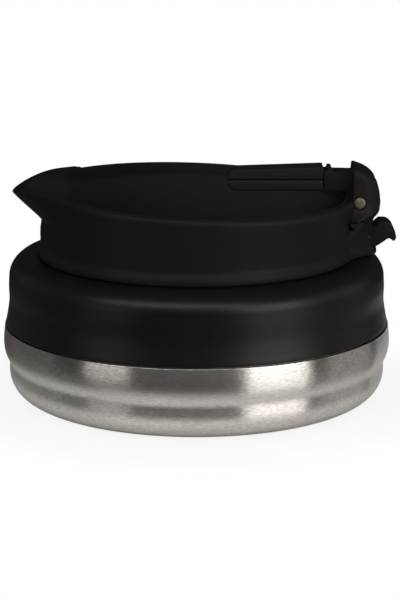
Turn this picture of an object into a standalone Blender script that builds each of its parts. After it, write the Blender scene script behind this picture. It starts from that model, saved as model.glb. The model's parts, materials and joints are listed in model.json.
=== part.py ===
"""Collapsible kettle, shown folded flat: a steel pan, a silicone wall that folds inside itself, a hard pouring
collar with a handle bracket, a drop-in lid and a handle that folds in over the mouth.

Metres, +Z up. The origin is the centre of the pan's flat underside. The spout points along -X, the bracket along +X.
"""

import math

import bpy
import bmesh
from mathutils import Matrix

# Fits and fineness
GAP = 0.0003
OVERRUN = 0.0040
WELD = 0.00001
TURN_STEPS = 60
SMALL_STEPS = 16
SMOOTH_ANGLE_DEG = 35.0

# Steel pan
PAN_RADIUS = 0.0900
PAN_WALL = 0.0010
PAN_CORNER = 0.0120
PAN_LOWER_INSET = 0.0025
PAN_LOWER_HEIGHT = 0.0170
BEAD_PROUD = 0.0018
BEAD_HEIGHT = 0.0018
BEAD_VALLEY = 0.0010
BEAD_VALLEY_HEIGHT = 0.0033
PAN_BAND_START = 0.0055
PAN_BAND_HEIGHT = 0.0078
PAN_SEAM_RISE = 0.0040
PAN_SEAM_INSET = 0.0012
NECK_INSET = 0.0042
NECK_HEIGHT = 0.0078
NECK_WALL = 0.0008
NECK_SKIRT = 0.0060

# Silicone sleeve, from the seam up to the shelf that the collar rests on
SLEEVE_WALL = 0.0020
WAIST_INSET = 0.0018
HEM_HEIGHT = 0.0016
WAIST_START = 0.0066
WAIST_END = 0.0120
SLEEVE_BULGE = 0.0003
BULGE_HEIGHT = 0.0160
SHOULDER_HEIGHT = 0.0220
SHOULDER_ROUND = 0.0097
SHELF_WIDTH = 0.0048
HEM_RING_THICK = 0.0011
HEM_RING_HEIGHT = 0.0030
HEM_RING_RISE = 0.0024

# Pouring collar
COLLAR_WALL = 0.0028
COLLAR_HEIGHT = 0.0293
COLLAR_FLARE = 0.0009
COLLAR_FOOT_ROUND = 0.0006
RIM_ROUND = 0.0016
RIM_RISE = 0.0028
RIM_LIFT = 0.0016
RIM_LIFT_DEG = 27.0
RIM_LIFT_SPREAD_DEG = 16.0
SPOUT_REACH = 0.0124
SPOUT_HEIGHT = 0.0113
SPOUT_DIP = 0.0024
SPOUT_DIP_SPREAD_DEG = 11.0
SPOUT_HALF_ANGLE_DEG = 36.0
SPOUT_STEP_DEG = 3.0
SKIRT_WALL = 0.0015
SKIRT_DROP = 0.0093

# Angle from the tip and reach of the spout, seen from above
SPOUT_PLAN_SHARES = (
    (0.00, 1.00),
    (0.09, 0.95),
    (0.20, 0.83),
    (0.39, 0.57),
    (0.53, 0.41),
    (0.67, 0.26),
    (0.80, 0.11),
    (0.90, 0.03),
    (1.00, 0.00),
)

# Folding wall, cuff and the ring that holds the cuff in the skirt
FOLD_WALL = 0.0016
FOLD_DEPTH = 0.0277
FOLD_TAPER = 0.0010
FOLD_TURN = 0.0018
CUFF_HEIGHT = 0.0096
CUFF_RING_WALL = 0.0021
CUFF_RING_LIP = 0.0010
LID_SEAT_WIDTH = 0.0031
LID_SEAT_THICK = 0.0020

# Lid
GASKET_WIDTH = 0.0012
GASKET_HEIGHT = 0.0030
LID_THICK = 0.0020
LID_RIM_WIDTH = 0.0017
LID_RIM_HEIGHT = 0.0030
KNOB_RADIUS = 0.0095
KNOB_HEIGHT = 0.0185
KNOB_STEM_RADIUS = 0.0052
KNOB_STEM_HEIGHT = 0.0100
KNOB_CROWN = 0.0030
LID_SCREW_RADIUS = 0.0015
LID_SCREW_LENGTH = 0.0110
LID_SCREW_HEAD_RADIUS = 0.0038
LID_SCREW_HEAD_THICK = 0.0018
STRAINER_SLOTS = 7
STRAINER_SLOT_WIDTH = 0.0020
STRAINER_SLOT_LENGTH = 0.0110
STRAINER_EDGE = 0.0045
STRAINER_PITCH_DEG = 4.6

# Handle bracket, moulded on the collar
BRACKET_HEIGHT = 0.0405
BRACKET_REACH = 0.0119
BRACKET_HALF_WIDTH = 0.0235
BRACKET_EMBED = 0.0012
SLOT_CLEARANCE = 0.0012
SLOT_FLOOR = 0.0144
NOTCH_CLEARANCE = 0.0006
BRACKET_SIDE_STEPS = 9
BRACKET_BACK_STEPS = 4

# Height, nose reach, half width and share of the cheeks' plan, up the bracket
BRACKET_PROFILE_SHARES = (
    (0.000, 0.830, 1.00, 0.0),
    (0.220, 0.835, 1.00, 0.0),
    (0.330, 0.870, 0.92, 0.2),
    (0.430, 0.940, 0.74, 0.6),
    (0.520, 0.985, 0.57, 1.0),
    (0.600, 1.000, 0.56, 1.0),
    (0.730, 0.925, 0.56, 1.0),
    (0.825, 0.840, 0.56, 1.0),
    (0.875, 0.765, 0.56, 1.0),
    (0.925, 0.610, 0.55, 1.0),
    (0.950, 0.470, 0.55, 1.0),
    (0.980, 0.300, 0.54, 1.0),
    (1.000, 0.120, 0.54, 1.0),
)
# Sideways place and reach of the bracket's foot and of its cheeks, seen from above
FOOT_PLAN_SHARES = ((0.00, 1.00), (0.22, 0.97), (0.36, 0.76), (0.45, 0.59), (0.54, 0.36), (0.72, 0.15), (1.00, 0.00))
CHEEK_PLAN_SHARES = ((0.00, 1.00), (0.64, 1.00), (0.78, 0.94), (0.89, 0.82), (1.00, 0.58))

# Handle pin, bush and washers
PIN_RADIUS = 0.0020
PIN_OUTSET = 0.0012
PIN_BELOW_RIM = 0.0041
PIN_SEAT_HALF = 0.0120
PIN_HEAD_RADIUS = 0.0026
PIN_HEAD_THICK = 0.0010
PIN_HEAD_CROWN = 0.0003
PIN_CLIP_RADIUS = 0.0036
PIN_CLIP_THICK = 0.0006
BUSH_WALL = 0.0009
WASHER_THICK = 0.0006
WASHER_RADIUS = 0.0050

# Handle
EYE_RADIUS = 0.0060
EYE_HALF_WIDTH = 0.0062
HANDLE_LENGTH = 0.0603
HANDLE_ROOT_LENGTH = 0.0161
HANDLE_TOP = 0.0156
GRIP_HALF_WIDTH = 0.00665
GRIP_BOTTOM = 0.0045
GRIP_PARTING = 0.0098
GRIP_TOP_FALL = 0.0013
GRIP_END_ROUND = 0.0040
GRIP_EDGE = 0.0010
TANG_HALF_WIDTH = 0.0032
TANG_BOTTOM = 0.0076
TANG_HEIGHT = 0.0044
TANG_END_INSET = 0.0060
GRIP_SCREW_RADIUS = 0.0012
GRIP_SCREW_HEAD_RADIUS = 0.0024
GRIP_SCREW_HEAD_THICK = 0.0012
GRIP_SCREW_SINK = 0.0006
GRIP_SCREW_BITE = 0.0012
GRIP_SCREW_SHARES = (("grip_screw_inner", 0.25), ("grip_screw_outer", 0.75))

# Root of the arm, from the pin's outer side over the lower top, the rib and the end that meets the grip
ROOT_OUTLINE_SHARES = (
    (0.35, 0.14),
    (0.16, 0.53),
    (-0.13, 0.84),
    (-0.77, 0.85),
    (-0.77, 0.97),
    (-0.90, 0.97),
    (-0.90, 0.88),
    (-1.00, 0.88),
    (-1.00, 0.30),
    (-0.42, 0.30),
)

# Catch that the handle rests on when it is out, with its pin and leaf spring
CATCH_LENGTH = 0.0139
CATCH_HEIGHT = 0.0071
CATCH_HALF_WIDTH = 0.0064
CATCH_PIVOT_OUTSET = 0.0060
CATCH_PIVOT_RISE = 0.0087
CAVITY_FLOOR = 0.0021
CAVITY_BACK = 0.0043
CATCH_PIN_RADIUS = 0.0012
CATCH_PIN_END = 0.0016
LEAF_THICK = 0.0004
LEAF_HALF_WIDTH = 0.0035
LEAF_FLAT = 0.0040
LEAF_REACH = 0.0029
LEAF_RISE = 0.0010

# The catch's outline from its pin, along its length and up its height
CATCH_OUTLINE_SHARES = (
    (0.43, 0.96),
    (0.70, 0.93),
    (0.84, 0.70),
    (0.93, 0.39),
    (1.00, -0.14),
    (0.914, -0.41),
    (0.75, -0.14),
    (0.51, -0.48),
    (0.295, -0.75),
    (0.194, -0.62),
    (0.108, -0.42),
    (0.00, -0.39),
    (-0.137, -0.30),
    (-0.216, 0.00),
    (-0.23, 0.59),
    (-0.108, 0.69),
    (0.108, 0.51),
    (0.273, 0.66),
)

# Looks: colour, roughness and metallic value
BRUSHED_STEEL = ((0.62, 0.61, 0.60, 1.0), 0.32, 1.0)
BLACK_SILICONE = ((0.012, 0.012, 0.014, 1.0), 0.55, 0.0)
BLACK_NYLON = ((0.010, 0.010, 0.011, 1.0), 0.45, 0.0)
BRASS = ((0.55, 0.45, 0.28, 1.0), 0.35, 1.0)

# Heights and radii that follow from the sizes above
PAN_LOWER_RADIUS = PAN_RADIUS - PAN_LOWER_INSET
BAND_START_Z = PAN_LOWER_HEIGHT + PAN_BAND_START
BAND_END_Z = BAND_START_Z + PAN_BAND_HEIGHT
SEAM_Z = BAND_END_Z + PAN_SEAM_RISE
SEAM_RADIUS = PAN_RADIUS - PAN_SEAM_INSET
NECK_RADIUS = SEAM_RADIUS - NECK_INSET
NECK_TOP_Z = SEAM_Z + NECK_HEIGHT
HEM_INNER = NECK_RADIUS + GAP

WAIST_RADIUS = SEAM_RADIUS - WAIST_INSET
SHOULDER_RADIUS = WAIST_RADIUS - SHOULDER_ROUND
SHOULDER_Z = SEAM_Z + SHOULDER_HEIGHT
SHELF_Z = SHOULDER_Z + SHOULDER_ROUND

COLLAR_RADIUS = SHOULDER_RADIUS - SHELF_WIDTH
COLLAR_INNER = COLLAR_RADIUS - COLLAR_WALL
COLLAR_Z = SHELF_Z + GAP
RIM_Z = COLLAR_Z + COLLAR_HEIGHT
RIM_RADIUS = COLLAR_RADIUS + COLLAR_FLARE
SPOUT_ROOT_Z = RIM_Z + RIM_RISE - SPOUT_DIP - SPOUT_HEIGHT
SKIRT_RADIUS = COLLAR_INNER + SKIRT_WALL
SKIRT_Z = COLLAR_Z - SKIRT_DROP

FOLD_INNER = SKIRT_RADIUS + GAP
FOLD_TOP_Z = SHELF_Z - SLEEVE_WALL - GAP
FOLD_Z = FOLD_TOP_Z - FOLD_DEPTH
TURN_RADIUS = FOLD_INNER - FOLD_TAPER + FOLD_WALL / 2 - FOLD_TURN

CUFF_RADIUS = COLLAR_INNER - GAP
CUFF_TOP_Z = SKIRT_Z + CUFF_HEIGHT
CUFF_RING_RADIUS = CUFF_RADIUS - FOLD_WALL - GAP
CUFF_RING_INNER = CUFF_RING_RADIUS - CUFF_RING_WALL
CUFF_RING_Z = SKIRT_Z - LID_SEAT_THICK
LID_Z = SKIRT_Z + GAP
GASKET_RADIUS = CUFF_RING_INNER - GAP
LID_RADIUS = GASKET_RADIUS - GASKET_WIDTH - GAP

PIN_X = RIM_RADIUS + PIN_OUTSET
PIN_Z = RIM_Z - PIN_BELOW_RIM
BUSH_INNER = PIN_RADIUS + GAP
BUSH_RADIUS = BUSH_INNER + BUSH_WALL
SLOT_HALF = EYE_HALF_WIDTH + SLOT_CLEARANCE

CATCH_X = COLLAR_RADIUS + CATCH_PIVOT_OUTSET
CATCH_Z = COLLAR_Z + CATCH_PIVOT_RISE
CAVITY_HALF = CATCH_HALF_WIDTH + GAP
CAVITY_X = CATCH_X - CAVITY_BACK
CAVITY_Z = COLLAR_Z + CAVITY_FLOOR


def clear_scene():
    for obj in list(bpy.data.objects):
        bpy.data.objects.remove(obj, do_unlink=True)


def surface(name, look):
    colour, roughness, metallic = look
    mat = bpy.data.materials.new(name)
    mat.use_nodes = True
    shader = mat.node_tree.nodes["Principled BSDF"]
    shader.inputs["Base Color"].default_value = colour
    shader.inputs["Roughness"].default_value = roughness
    shader.inputs["Metallic"].default_value = metallic
    return mat


def solid(name, work, look=None, parent=None):
    """Makes an object from a bmesh, with its faces outward, and hangs it on an empty where it has one."""
    bmesh.ops.recalc_face_normals(work, faces=work.faces)
    mesh = bpy.data.meshes.new(name)
    work.to_mesh(mesh)
    work.free()
    mesh.shade_smooth()
    mesh.set_sharp_from_angle(angle=math.radians(SMOOTH_ANGLE_DEG))
    obj = bpy.data.objects.new(name, mesh)
    bpy.context.scene.collection.objects.link(obj)
    if look is not None:
        mesh.materials.append(surface(name, look))
    if parent is not None:
        obj.parent = parent
        obj.matrix_parent_inverse = parent.matrix_basis.inverted()
    return obj


def combine(obj, name, work, operation="DIFFERENCE"):
    """Cuts a bmesh out of an object, or joins it on. The tool stays in the scene as a hidden wire."""
    tool = solid(name, work, parent=obj.parent)
    tool.hide_render = True
    tool.display_type = "WIRE"
    change = obj.modifiers.new(name, "BOOLEAN")
    change.object = tool
    change.operation = operation
    change.solver = "EXACT"


def axis_empty(name, x, z):
    empty = bpy.data.objects.new(name, None)
    empty.location = (x, 0, z)
    bpy.context.scene.collection.objects.link(empty)
    return empty


def arc(centre_r, centre_z, radius, start_deg, end_deg, steps):
    """Points along a circular arc, both ends included."""
    points = []
    for k in range(steps + 1):
        turn = math.radians(start_deg + (end_deg - start_deg) * k / steps)
        points.append((centre_r + radius * math.cos(turn), centre_z + radius * math.sin(turn)))
    return points


def turned(outline, steps=TURN_STEPS, place=Matrix()):
    """Spins an outline of radii and heights about +Z. One that starts at radius 0 ends there too, and any other one
    is a closed loop that makes a ring."""
    work = bmesh.new()
    chain = [work.verts.new((r, 0, z)) for r, z in outline]
    edges = [work.edges.new(pair) for pair in zip(chain, chain[1:])]
    if outline[0][0] > 0:
        edges.append(work.edges.new((chain[-1], chain[0])))
    full = 2 * math.pi
    bmesh.ops.spin(work, geom=chain + edges, cent=(0, 0, 0), axis=(0, 0, 1), angle=full, steps=steps, use_merge=True)
    bmesh.ops.remove_doubles(work, verts=work.verts, dist=WELD)
    bmesh.ops.transform(work, matrix=place, verts=work.verts)
    return work


def along_y(x, z):
    """Takes a solid that stands on the origin along +Z to one that lies along +Y at x and z."""
    return Matrix.Translation((x, 0, z)) @ Matrix.Rotation(-math.pi / 2, 4, "X")


def rod(radius, low, high, place, steps=SMALL_STEPS):
    return turned([(0, low), (radius, low), (radius, high), (0, high)], steps, place)


def collar_ring(inner, outer, low, high):
    """Outline of a plain ring."""
    return [(outer, low), (outer, high), (inner, high), (inner, low)]


def slab(outline, half_width):
    """Extrudes an outline in the XZ plane to both sides."""
    work = bmesh.new()
    face = work.faces.new([work.verts.new((x, -half_width, z)) for x, z in outline])
    grown = bmesh.ops.extrude_face_region(work, geom=[face])
    moved = [v for v in grown["geom"] if isinstance(v, bmesh.types.BMVert)]
    bmesh.ops.translate(work, vec=(0, 2 * half_width, 0), verts=moved)
    return work


def block(low, high, place=Matrix()):
    """A box between two corners."""
    work = bmesh.new()
    sides = [b - a for a, b in zip(low, high)]
    middle = [(a + b) / 2 for a, b in zip(low, high)]
    shape = Matrix.Translation(middle) @ Matrix.Diagonal((*sides, 1))
    bmesh.ops.create_cube(work, size=1, matrix=place @ shape)
    return work


def skinned(rows, closed):
    """Joins equal loops of points into one surface, round in a ring or capped at both ends. Its sides are bent, so
    they are cut into triangles before any Boolean."""
    work = bmesh.new()
    loops = [[work.verts.new(p) for p in row] for row in rows]
    pairs = list(zip(loops, loops[1:]))
    if closed:
        pairs.append((loops[-1], loops[0]))
    else:
        work.faces.new(loops[0])
        work.faces.new(loops[-1])
    for one, other in pairs:
        for k in range(len(one)):
            n = (k + 1) % len(one)
            work.faces.new((one[k], one[n], other[n], other[k]))
    bmesh.ops.triangulate(work, faces=work.faces)
    return work


def share_at(table, value):
    """Reads a table of shares at a value, in straight runs."""
    for (a, fa), (b, fb) in zip(table, table[1:]):
        if value <= b:
            return fa + (fb - fa) * (value - a) / (b - a)
    return table[-1][1]


def make_steel_pan():
    low, wall = PAN_LOWER_RADIUS, PAN_WALL
    centre = low - PAN_CORNER
    top = SEAM_Z - GAP
    outside = [(0, 0), *arc(centre, PAN_CORNER, PAN_CORNER, -90, 0, 5)]
    outside += [
        (low, PAN_LOWER_HEIGHT),
        (low + BEAD_PROUD, PAN_LOWER_HEIGHT + BEAD_HEIGHT),
        (low + BEAD_VALLEY, PAN_LOWER_HEIGHT + BEAD_VALLEY_HEIGHT),
        (PAN_RADIUS, BAND_START_Z),
        (PAN_RADIUS, BAND_END_Z),
        (PAN_RADIUS - PAN_SEAM_INSET / 4, (BAND_END_Z + SEAM_Z) / 2),
        (SEAM_RADIUS, top),
    ]
    inside = [
        (SEAM_RADIUS - wall, top),
        (PAN_RADIUS - PAN_SEAM_INSET / 4 - wall, (BAND_END_Z + SEAM_Z) / 2),
        (PAN_RADIUS - wall, BAND_END_Z),
        (PAN_RADIUS - wall, BAND_START_Z + wall / 2),
        (low - wall, PAN_LOWER_HEIGHT + wall / 2),
        *arc(centre, PAN_CORNER, PAN_CORNER - wall, 0, -90, 5),
        (0, wall),
    ]
    solid("steel_pan", turned(outside + inside), BRUSHED_STEEL)


def make_neck_ring():
    """Stands inside the pan's edge and carries the neck that the sleeve's hem grips."""
    wall, top = NECK_WALL, SEAM_Z - GAP
    outer = SEAM_RADIUS - PAN_WALL - GAP
    low = top - NECK_SKIRT
    outline = [
        (outer, low),
        (outer, top),
        (NECK_RADIUS, top),
        (NECK_RADIUS, NECK_TOP_Z),
        (NECK_RADIUS - wall, NECK_TOP_Z),
        (NECK_RADIUS - wall, top - wall),
        (outer - wall, top - wall),
        (outer - wall, low),
    ]
    solid("neck_ring", turned(outline), BRUSHED_STEEL)


def make_sleeve():
    groove = HEM_INNER + HEM_RING_THICK + GAP
    groove_low = SEAM_Z + HEM_RING_RISE - GAP
    groove_high = SEAM_Z + HEM_RING_RISE + HEM_RING_HEIGHT + GAP
    outline = [
        (SEAM_RADIUS, SEAM_Z),
        (SEAM_RADIUS, SEAM_Z + HEM_HEIGHT),
        (WAIST_RADIUS, SEAM_Z + WAIST_START),
        (WAIST_RADIUS, SEAM_Z + WAIST_END),
        (WAIST_RADIUS + SLEEVE_BULGE, SEAM_Z + BULGE_HEIGHT),
        *arc(SHOULDER_RADIUS, SHOULDER_Z, SHOULDER_ROUND, 0, 90, 7),
        (FOLD_INNER, SHELF_Z),
        (FOLD_INNER, SHELF_Z - SLEEVE_WALL),
        *arc(SHOULDER_RADIUS, SHOULDER_Z, SHOULDER_ROUND - SLEEVE_WALL, 90, 0, 5),
        (WAIST_RADIUS - SLEEVE_WALL, NECK_TOP_Z + SLEEVE_WALL),
        (HEM_INNER, NECK_TOP_Z + GAP),
        (HEM_INNER, groove_high),
        (groove, groove_high),
        (groove, groove_low),
        (HEM_INNER, groove_low),
        (HEM_INNER, SEAM_Z),
    ]
    solid("silicone_sleeve", turned(outline), BLACK_SILICONE)
    low = SEAM_Z + HEM_RING_RISE
    ring = collar_ring(HEM_INNER, HEM_INNER + HEM_RING_THICK, low, low + HEM_RING_HEIGHT)
    solid("hem_ring", turned(ring), BRUSHED_STEEL)


def turn_ends(radius):
    """Angles at which the two halves of the fold's turn stop, half a gap either side of its lowest point."""
    off = math.degrees(math.asin(GAP / (2 * radius)))
    return -90 + off, -90 - off


def make_folded_wall():
    """The fold hangs inside the sleeve: an outer leg that unrolls, and an inner leg that rises with the collar."""
    outer_turn = FOLD_TURN + FOLD_WALL / 2
    inner_turn = FOLD_TURN - FOLD_WALL / 2
    outer_ends, inner_ends = turn_ends(outer_turn), turn_ends(inner_turn)
    beside = SKIRT_Z - GAP
    outer_leg = [
        (FOLD_INNER, FOLD_TOP_Z),
        (FOLD_INNER, beside),
        *arc(TURN_RADIUS, FOLD_Z, inner_turn, 0, inner_ends[0], 3),
        *arc(TURN_RADIUS, FOLD_Z, outer_turn, outer_ends[0], 0, 4),
        (FOLD_INNER + FOLD_WALL, beside),
        (FOLD_INNER + FOLD_WALL, FOLD_TOP_Z),
    ]
    solid("silicone_folding_wall", turned(outer_leg), BLACK_SILICONE)
    straight = CUFF_RING_Z - GAP
    inner_leg = [
        (CUFF_RADIUS, CUFF_TOP_Z),
        (CUFF_RADIUS, straight),
        *arc(TURN_RADIUS, FOLD_Z, inner_turn, -180, inner_ends[1], 3),
        *arc(TURN_RADIUS, FOLD_Z, outer_turn, outer_ends[1], -180, 4),
        (CUFF_RADIUS - FOLD_WALL, straight),
        (CUFF_RADIUS - FOLD_WALL, CUFF_TOP_Z),
    ]
    solid("silicone_upper_wall", turned(inner_leg), BLACK_SILICONE)


def make_cuff_ring():
    lip = CUFF_TOP_Z + GAP
    seat = CUFF_RING_INNER - LID_SEAT_WIDTH
    outline = [
        (CUFF_RADIUS, lip + CUFF_RING_LIP),
        (CUFF_RADIUS, lip),
        (CUFF_RING_RADIUS, lip),
        (CUFF_RING_RADIUS, CUFF_RING_Z),
        (seat, CUFF_RING_Z),
        (seat, SKIRT_Z),
        (CUFF_RING_INNER, SKIRT_Z),
        (CUFF_RING_INNER, lip + CUFF_RING_LIP),
    ]
    solid("cuff_ring", turned(outline), BLACK_NYLON)


def lean_at(z):
    """How far the collar's wall has flared at a height."""
    return COLLAR_FLARE * (z - COLLAR_Z) / COLLAR_HEIGHT


def rim_height(turn_deg):
    """Height of the rim at an angle from the spout: it climbs to a shoulder beside the spout and dips at the tip."""
    aside = (turn_deg + 180) % 360 - 180
    dip = SPOUT_DIP * math.exp(-((aside / SPOUT_DIP_SPREAD_DEG) ** 2))
    lift = RIM_LIFT * math.exp(-(((abs(aside) - RIM_LIFT_DEG) / RIM_LIFT_SPREAD_DEG) ** 2))
    return RIM_Z + RIM_RISE * math.cos(math.radians(aside)) + lift - dip


def collar_section(turn_deg):
    """Outline of the collar's wall at an angle from the spout, as radii and heights."""
    top = rim_height(turn_deg) - RIM_ROUND
    reach = SPOUT_REACH * share_at(SPOUT_PLAN_SHARES, abs(turn_deg) / SPOUT_HALF_ANGLE_DEG)
    foot = COLLAR_Z + COLLAR_FOOT_ROUND

    def outer(z):
        rise = max(0, (z - SPOUT_ROOT_Z) / (top - SPOUT_ROOT_Z))
        return COLLAR_RADIUS + lean_at(z) + reach * rise

    heights = [foot, SPOUT_ROOT_Z] + [SPOUT_ROOT_Z + (top - SPOUT_ROOT_Z) * k / 4 for k in range(1, 5)]
    section = [(SKIRT_RADIUS, SKIRT_Z), (SKIRT_RADIUS, COLLAR_Z)]
    section += arc(COLLAR_RADIUS - COLLAR_FOOT_ROUND, foot, COLLAR_FOOT_ROUND, -90, -30, 2)
    section += [(outer(z), z) for z in heights]
    half = COLLAR_WALL / 2
    for k in range(1, 5):
        around = math.pi * k / 5
        section.append((outer(top) - half + half * math.cos(around), top + RIM_ROUND * math.sin(around)))
    section += [(outer(z) - COLLAR_WALL, z) for z in reversed(heights[1:])]
    return section + [(COLLAR_INNER, COLLAR_Z), (COLLAR_INNER, SKIRT_Z)]


def collar_angles():
    """Angles from the spout round the collar, closer together along the spout."""
    fine = round(SPOUT_HALF_ANGLE_DEG / SPOUT_STEP_DEG)
    angles = [SPOUT_STEP_DEG * k for k in range(-fine, fine + 1)]
    rest = 360 - 2 * SPOUT_HALF_ANGLE_DEG
    coarse = round(rest * TURN_STEPS / 360)
    return angles + [SPOUT_HALF_ANGLE_DEG + rest * k / coarse for k in range(1, coarse)]


def bracket_section(height_share, reach_share, width_share, cheek_share):
    """Plan outline of the bracket at one height: the nose outside, and a back sunk in the collar's wall inside."""
    half = BRACKET_HALF_WIDTH * width_share
    z = COLLAR_Z + GAP + BRACKET_HEIGHT * height_share
    around = COLLAR_RADIUS + min(lean_at(z), COLLAR_FLARE)
    back = around - BRACKET_EMBED if z < PIN_Z else RIM_RADIUS - GAP
    points = []
    for k in range(-BRACKET_SIDE_STEPS, BRACKET_SIDE_STEPS + 1):
        side = k / BRACKET_SIDE_STEPS
        foot = share_at(FOOT_PLAN_SHARES, abs(side))
        cheek = share_at(CHEEK_PLAN_SHARES, abs(side))
        out = BRACKET_REACH * reach_share * (foot + (cheek - foot) * cheek_share)
        points.append((math.sqrt(around ** 2 - (half * side) ** 2) + out, half * side, z))
    for k in range(BRACKET_BACK_STEPS, -BRACKET_BACK_STEPS - 1, -1):
        y = half * k / BRACKET_BACK_STEPS
        points.append((math.sqrt(back ** 2 - y ** 2), y, z))
    return points


def make_pouring_collar():
    rows = []
    for turn_deg in collar_angles():
        turn = math.pi + math.radians(turn_deg)
        rows.append([(r * math.cos(turn), r * math.sin(turn), z) for r, z in collar_section(turn_deg)])
    collar = solid("pouring_collar", skinned(rows, True), BLACK_NYLON)
    bracket = [bracket_section(*shares) for shares in BRACKET_PROFILE_SHARES]
    combine(collar, "bracket_body", skinned(bracket, False), "UNION")

    top = COLLAR_Z + BRACKET_HEIGHT + OVERRUN
    nose = COLLAR_RADIUS + BRACKET_REACH + OVERRUN
    floor = COLLAR_Z + SLOT_FLOOR
    cavity = block((CAVITY_X, -CAVITY_HALF, CAVITY_Z), (nose, CAVITY_HALF, floor + OVERRUN))
    combine(collar, "catch_cavity", cavity)
    notch_floor = PIN_Z - EYE_RADIUS - NOTCH_CLEARANCE
    notch_back = COLLAR_INNER - OVERRUN
    slot = [
        (RIM_RADIUS, floor),
        (nose, floor),
        (nose, top),
        (notch_back, top),
        (notch_back, notch_floor),
        (RIM_RADIUS, notch_floor),
    ]
    combine(collar, "handle_slot", slab(slot, SLOT_HALF))

    pin_line = along_y(PIN_X, PIN_Z)
    outside = BRACKET_HALF_WIDTH + OVERRUN
    combine(collar, "pin_bore", rod(BUSH_INNER, -outside, outside, pin_line))
    combine(collar, "head_seat", rod(PIN_HEAD_RADIUS + GAP, -outside, -PIN_SEAT_HALF, pin_line))
    combine(collar, "clip_seat", rod(PIN_CLIP_RADIUS + GAP, PIN_SEAT_HALF, outside, pin_line))
    reach = CAVITY_HALF + CATCH_PIN_END
    combine(collar, "catch_pin_bore", rod(CATCH_PIN_RADIUS + GAP, -reach, reach, along_y(CATCH_X, CATCH_Z)))


def make_lid():
    frame = axis_empty("lid_lift", 0, LID_Z)
    bore = LID_SCREW_RADIUS + GAP
    top = LID_Z + LID_THICK
    rim = LID_RADIUS - LID_RIM_WIDTH
    disc = [
        (LID_RADIUS, LID_Z),
        (LID_RADIUS, top + LID_RIM_HEIGHT),
        (rim, top + LID_RIM_HEIGHT),
        (rim, top),
        (bore, top),
        (bore, LID_Z),
    ]
    lid = solid("lid_disc", turned(disc), BLACK_NYLON, frame)
    outer = rim - STRAINER_EDGE
    half = STRAINER_SLOT_WIDTH / 2
    for k in range(STRAINER_SLOTS):
        off_deg = STRAINER_PITCH_DEG * (k - (STRAINER_SLOTS - 1) / 2)
        place = Matrix.Rotation(math.pi + math.radians(off_deg), 4, "Z")
        low, high = (outer - STRAINER_SLOT_LENGTH, -half, LID_Z - OVERRUN), (outer, half, top + OVERRUN)
        combine(lid, f"strainer_slot_{k}", block(low, high, place))

    gasket = collar_ring(LID_RADIUS + GAP, GASKET_RADIUS, LID_Z, LID_Z + GASKET_HEIGHT)
    solid("lid_gasket", turned(gasket), BLACK_SILICONE, frame)

    foot = top + GAP
    knob_top = foot + KNOB_HEIGHT
    neck = foot + KNOB_STEM_HEIGHT
    screw_seat = LID_Z - GAP
    screw_tip = screw_seat + LID_SCREW_LENGTH
    knob = [(0, knob_top)]
    knob += [(KNOB_RADIUS * share, knob_top - KNOB_CROWN * share ** 2) for share in (0.5, 0.85, 1.0)]
    knob += [
        (KNOB_RADIUS, neck + KNOB_CROWN / 2),
        (KNOB_RADIUS - KNOB_CROWN / 2, neck),
        (KNOB_STEM_RADIUS, neck),
        (KNOB_STEM_RADIUS, foot),
        (bore, foot),
        (bore, screw_tip + GAP),
        (0, screw_tip + GAP),
    ]
    solid("lid_knob", turned(knob, 2 * SMALL_STEPS), BLACK_NYLON, frame)
    screw = [
        (0, screw_seat - LID_SCREW_HEAD_THICK),
        (LID_SCREW_HEAD_RADIUS, screw_seat - LID_SCREW_HEAD_THICK),
        (LID_SCREW_HEAD_RADIUS, screw_seat),
        (LID_SCREW_RADIUS, screw_seat),
        (LID_SCREW_RADIUS, screw_tip),
        (0, screw_tip),
    ]
    solid("lid_screw", turned(screw, SMALL_STEPS), BRUSHED_STEEL, frame)


def make_handle_pin():
    place = along_y(PIN_X, PIN_Z)
    seat = PIN_SEAT_HALF + GAP
    far = seat + PIN_CLIP_THICK + PIN_HEAD_CROWN
    pin = [
        (0, -seat - PIN_HEAD_THICK - PIN_HEAD_CROWN),
        (PIN_HEAD_RADIUS / 2, -seat - PIN_HEAD_THICK - PIN_HEAD_CROWN / 2),
        (PIN_HEAD_RADIUS, -seat - PIN_HEAD_THICK),
        (PIN_HEAD_RADIUS, -seat),
        (PIN_RADIUS, -seat),
        (PIN_RADIUS, far),
        (0, far),
    ]
    solid("handle_pin", turned(pin, SMALL_STEPS, place), BRUSHED_STEEL)
    clip = collar_ring(BUSH_INNER, PIN_CLIP_RADIUS, seat, seat + PIN_CLIP_THICK)
    solid("pin_clip", turned(clip, SMALL_STEPS, place), BRUSHED_STEEL)


def screw_outline(start, head_radius, head, shank_radius, tip):
    """A screw that points up: its head's underside is at start, its head's top at head and its tip at tip."""
    return [
        (0, start),
        (head_radius, start),
        (head_radius, head),
        (shank_radius, head),
        (shank_radius, tip),
        (0, tip),
    ]


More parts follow.
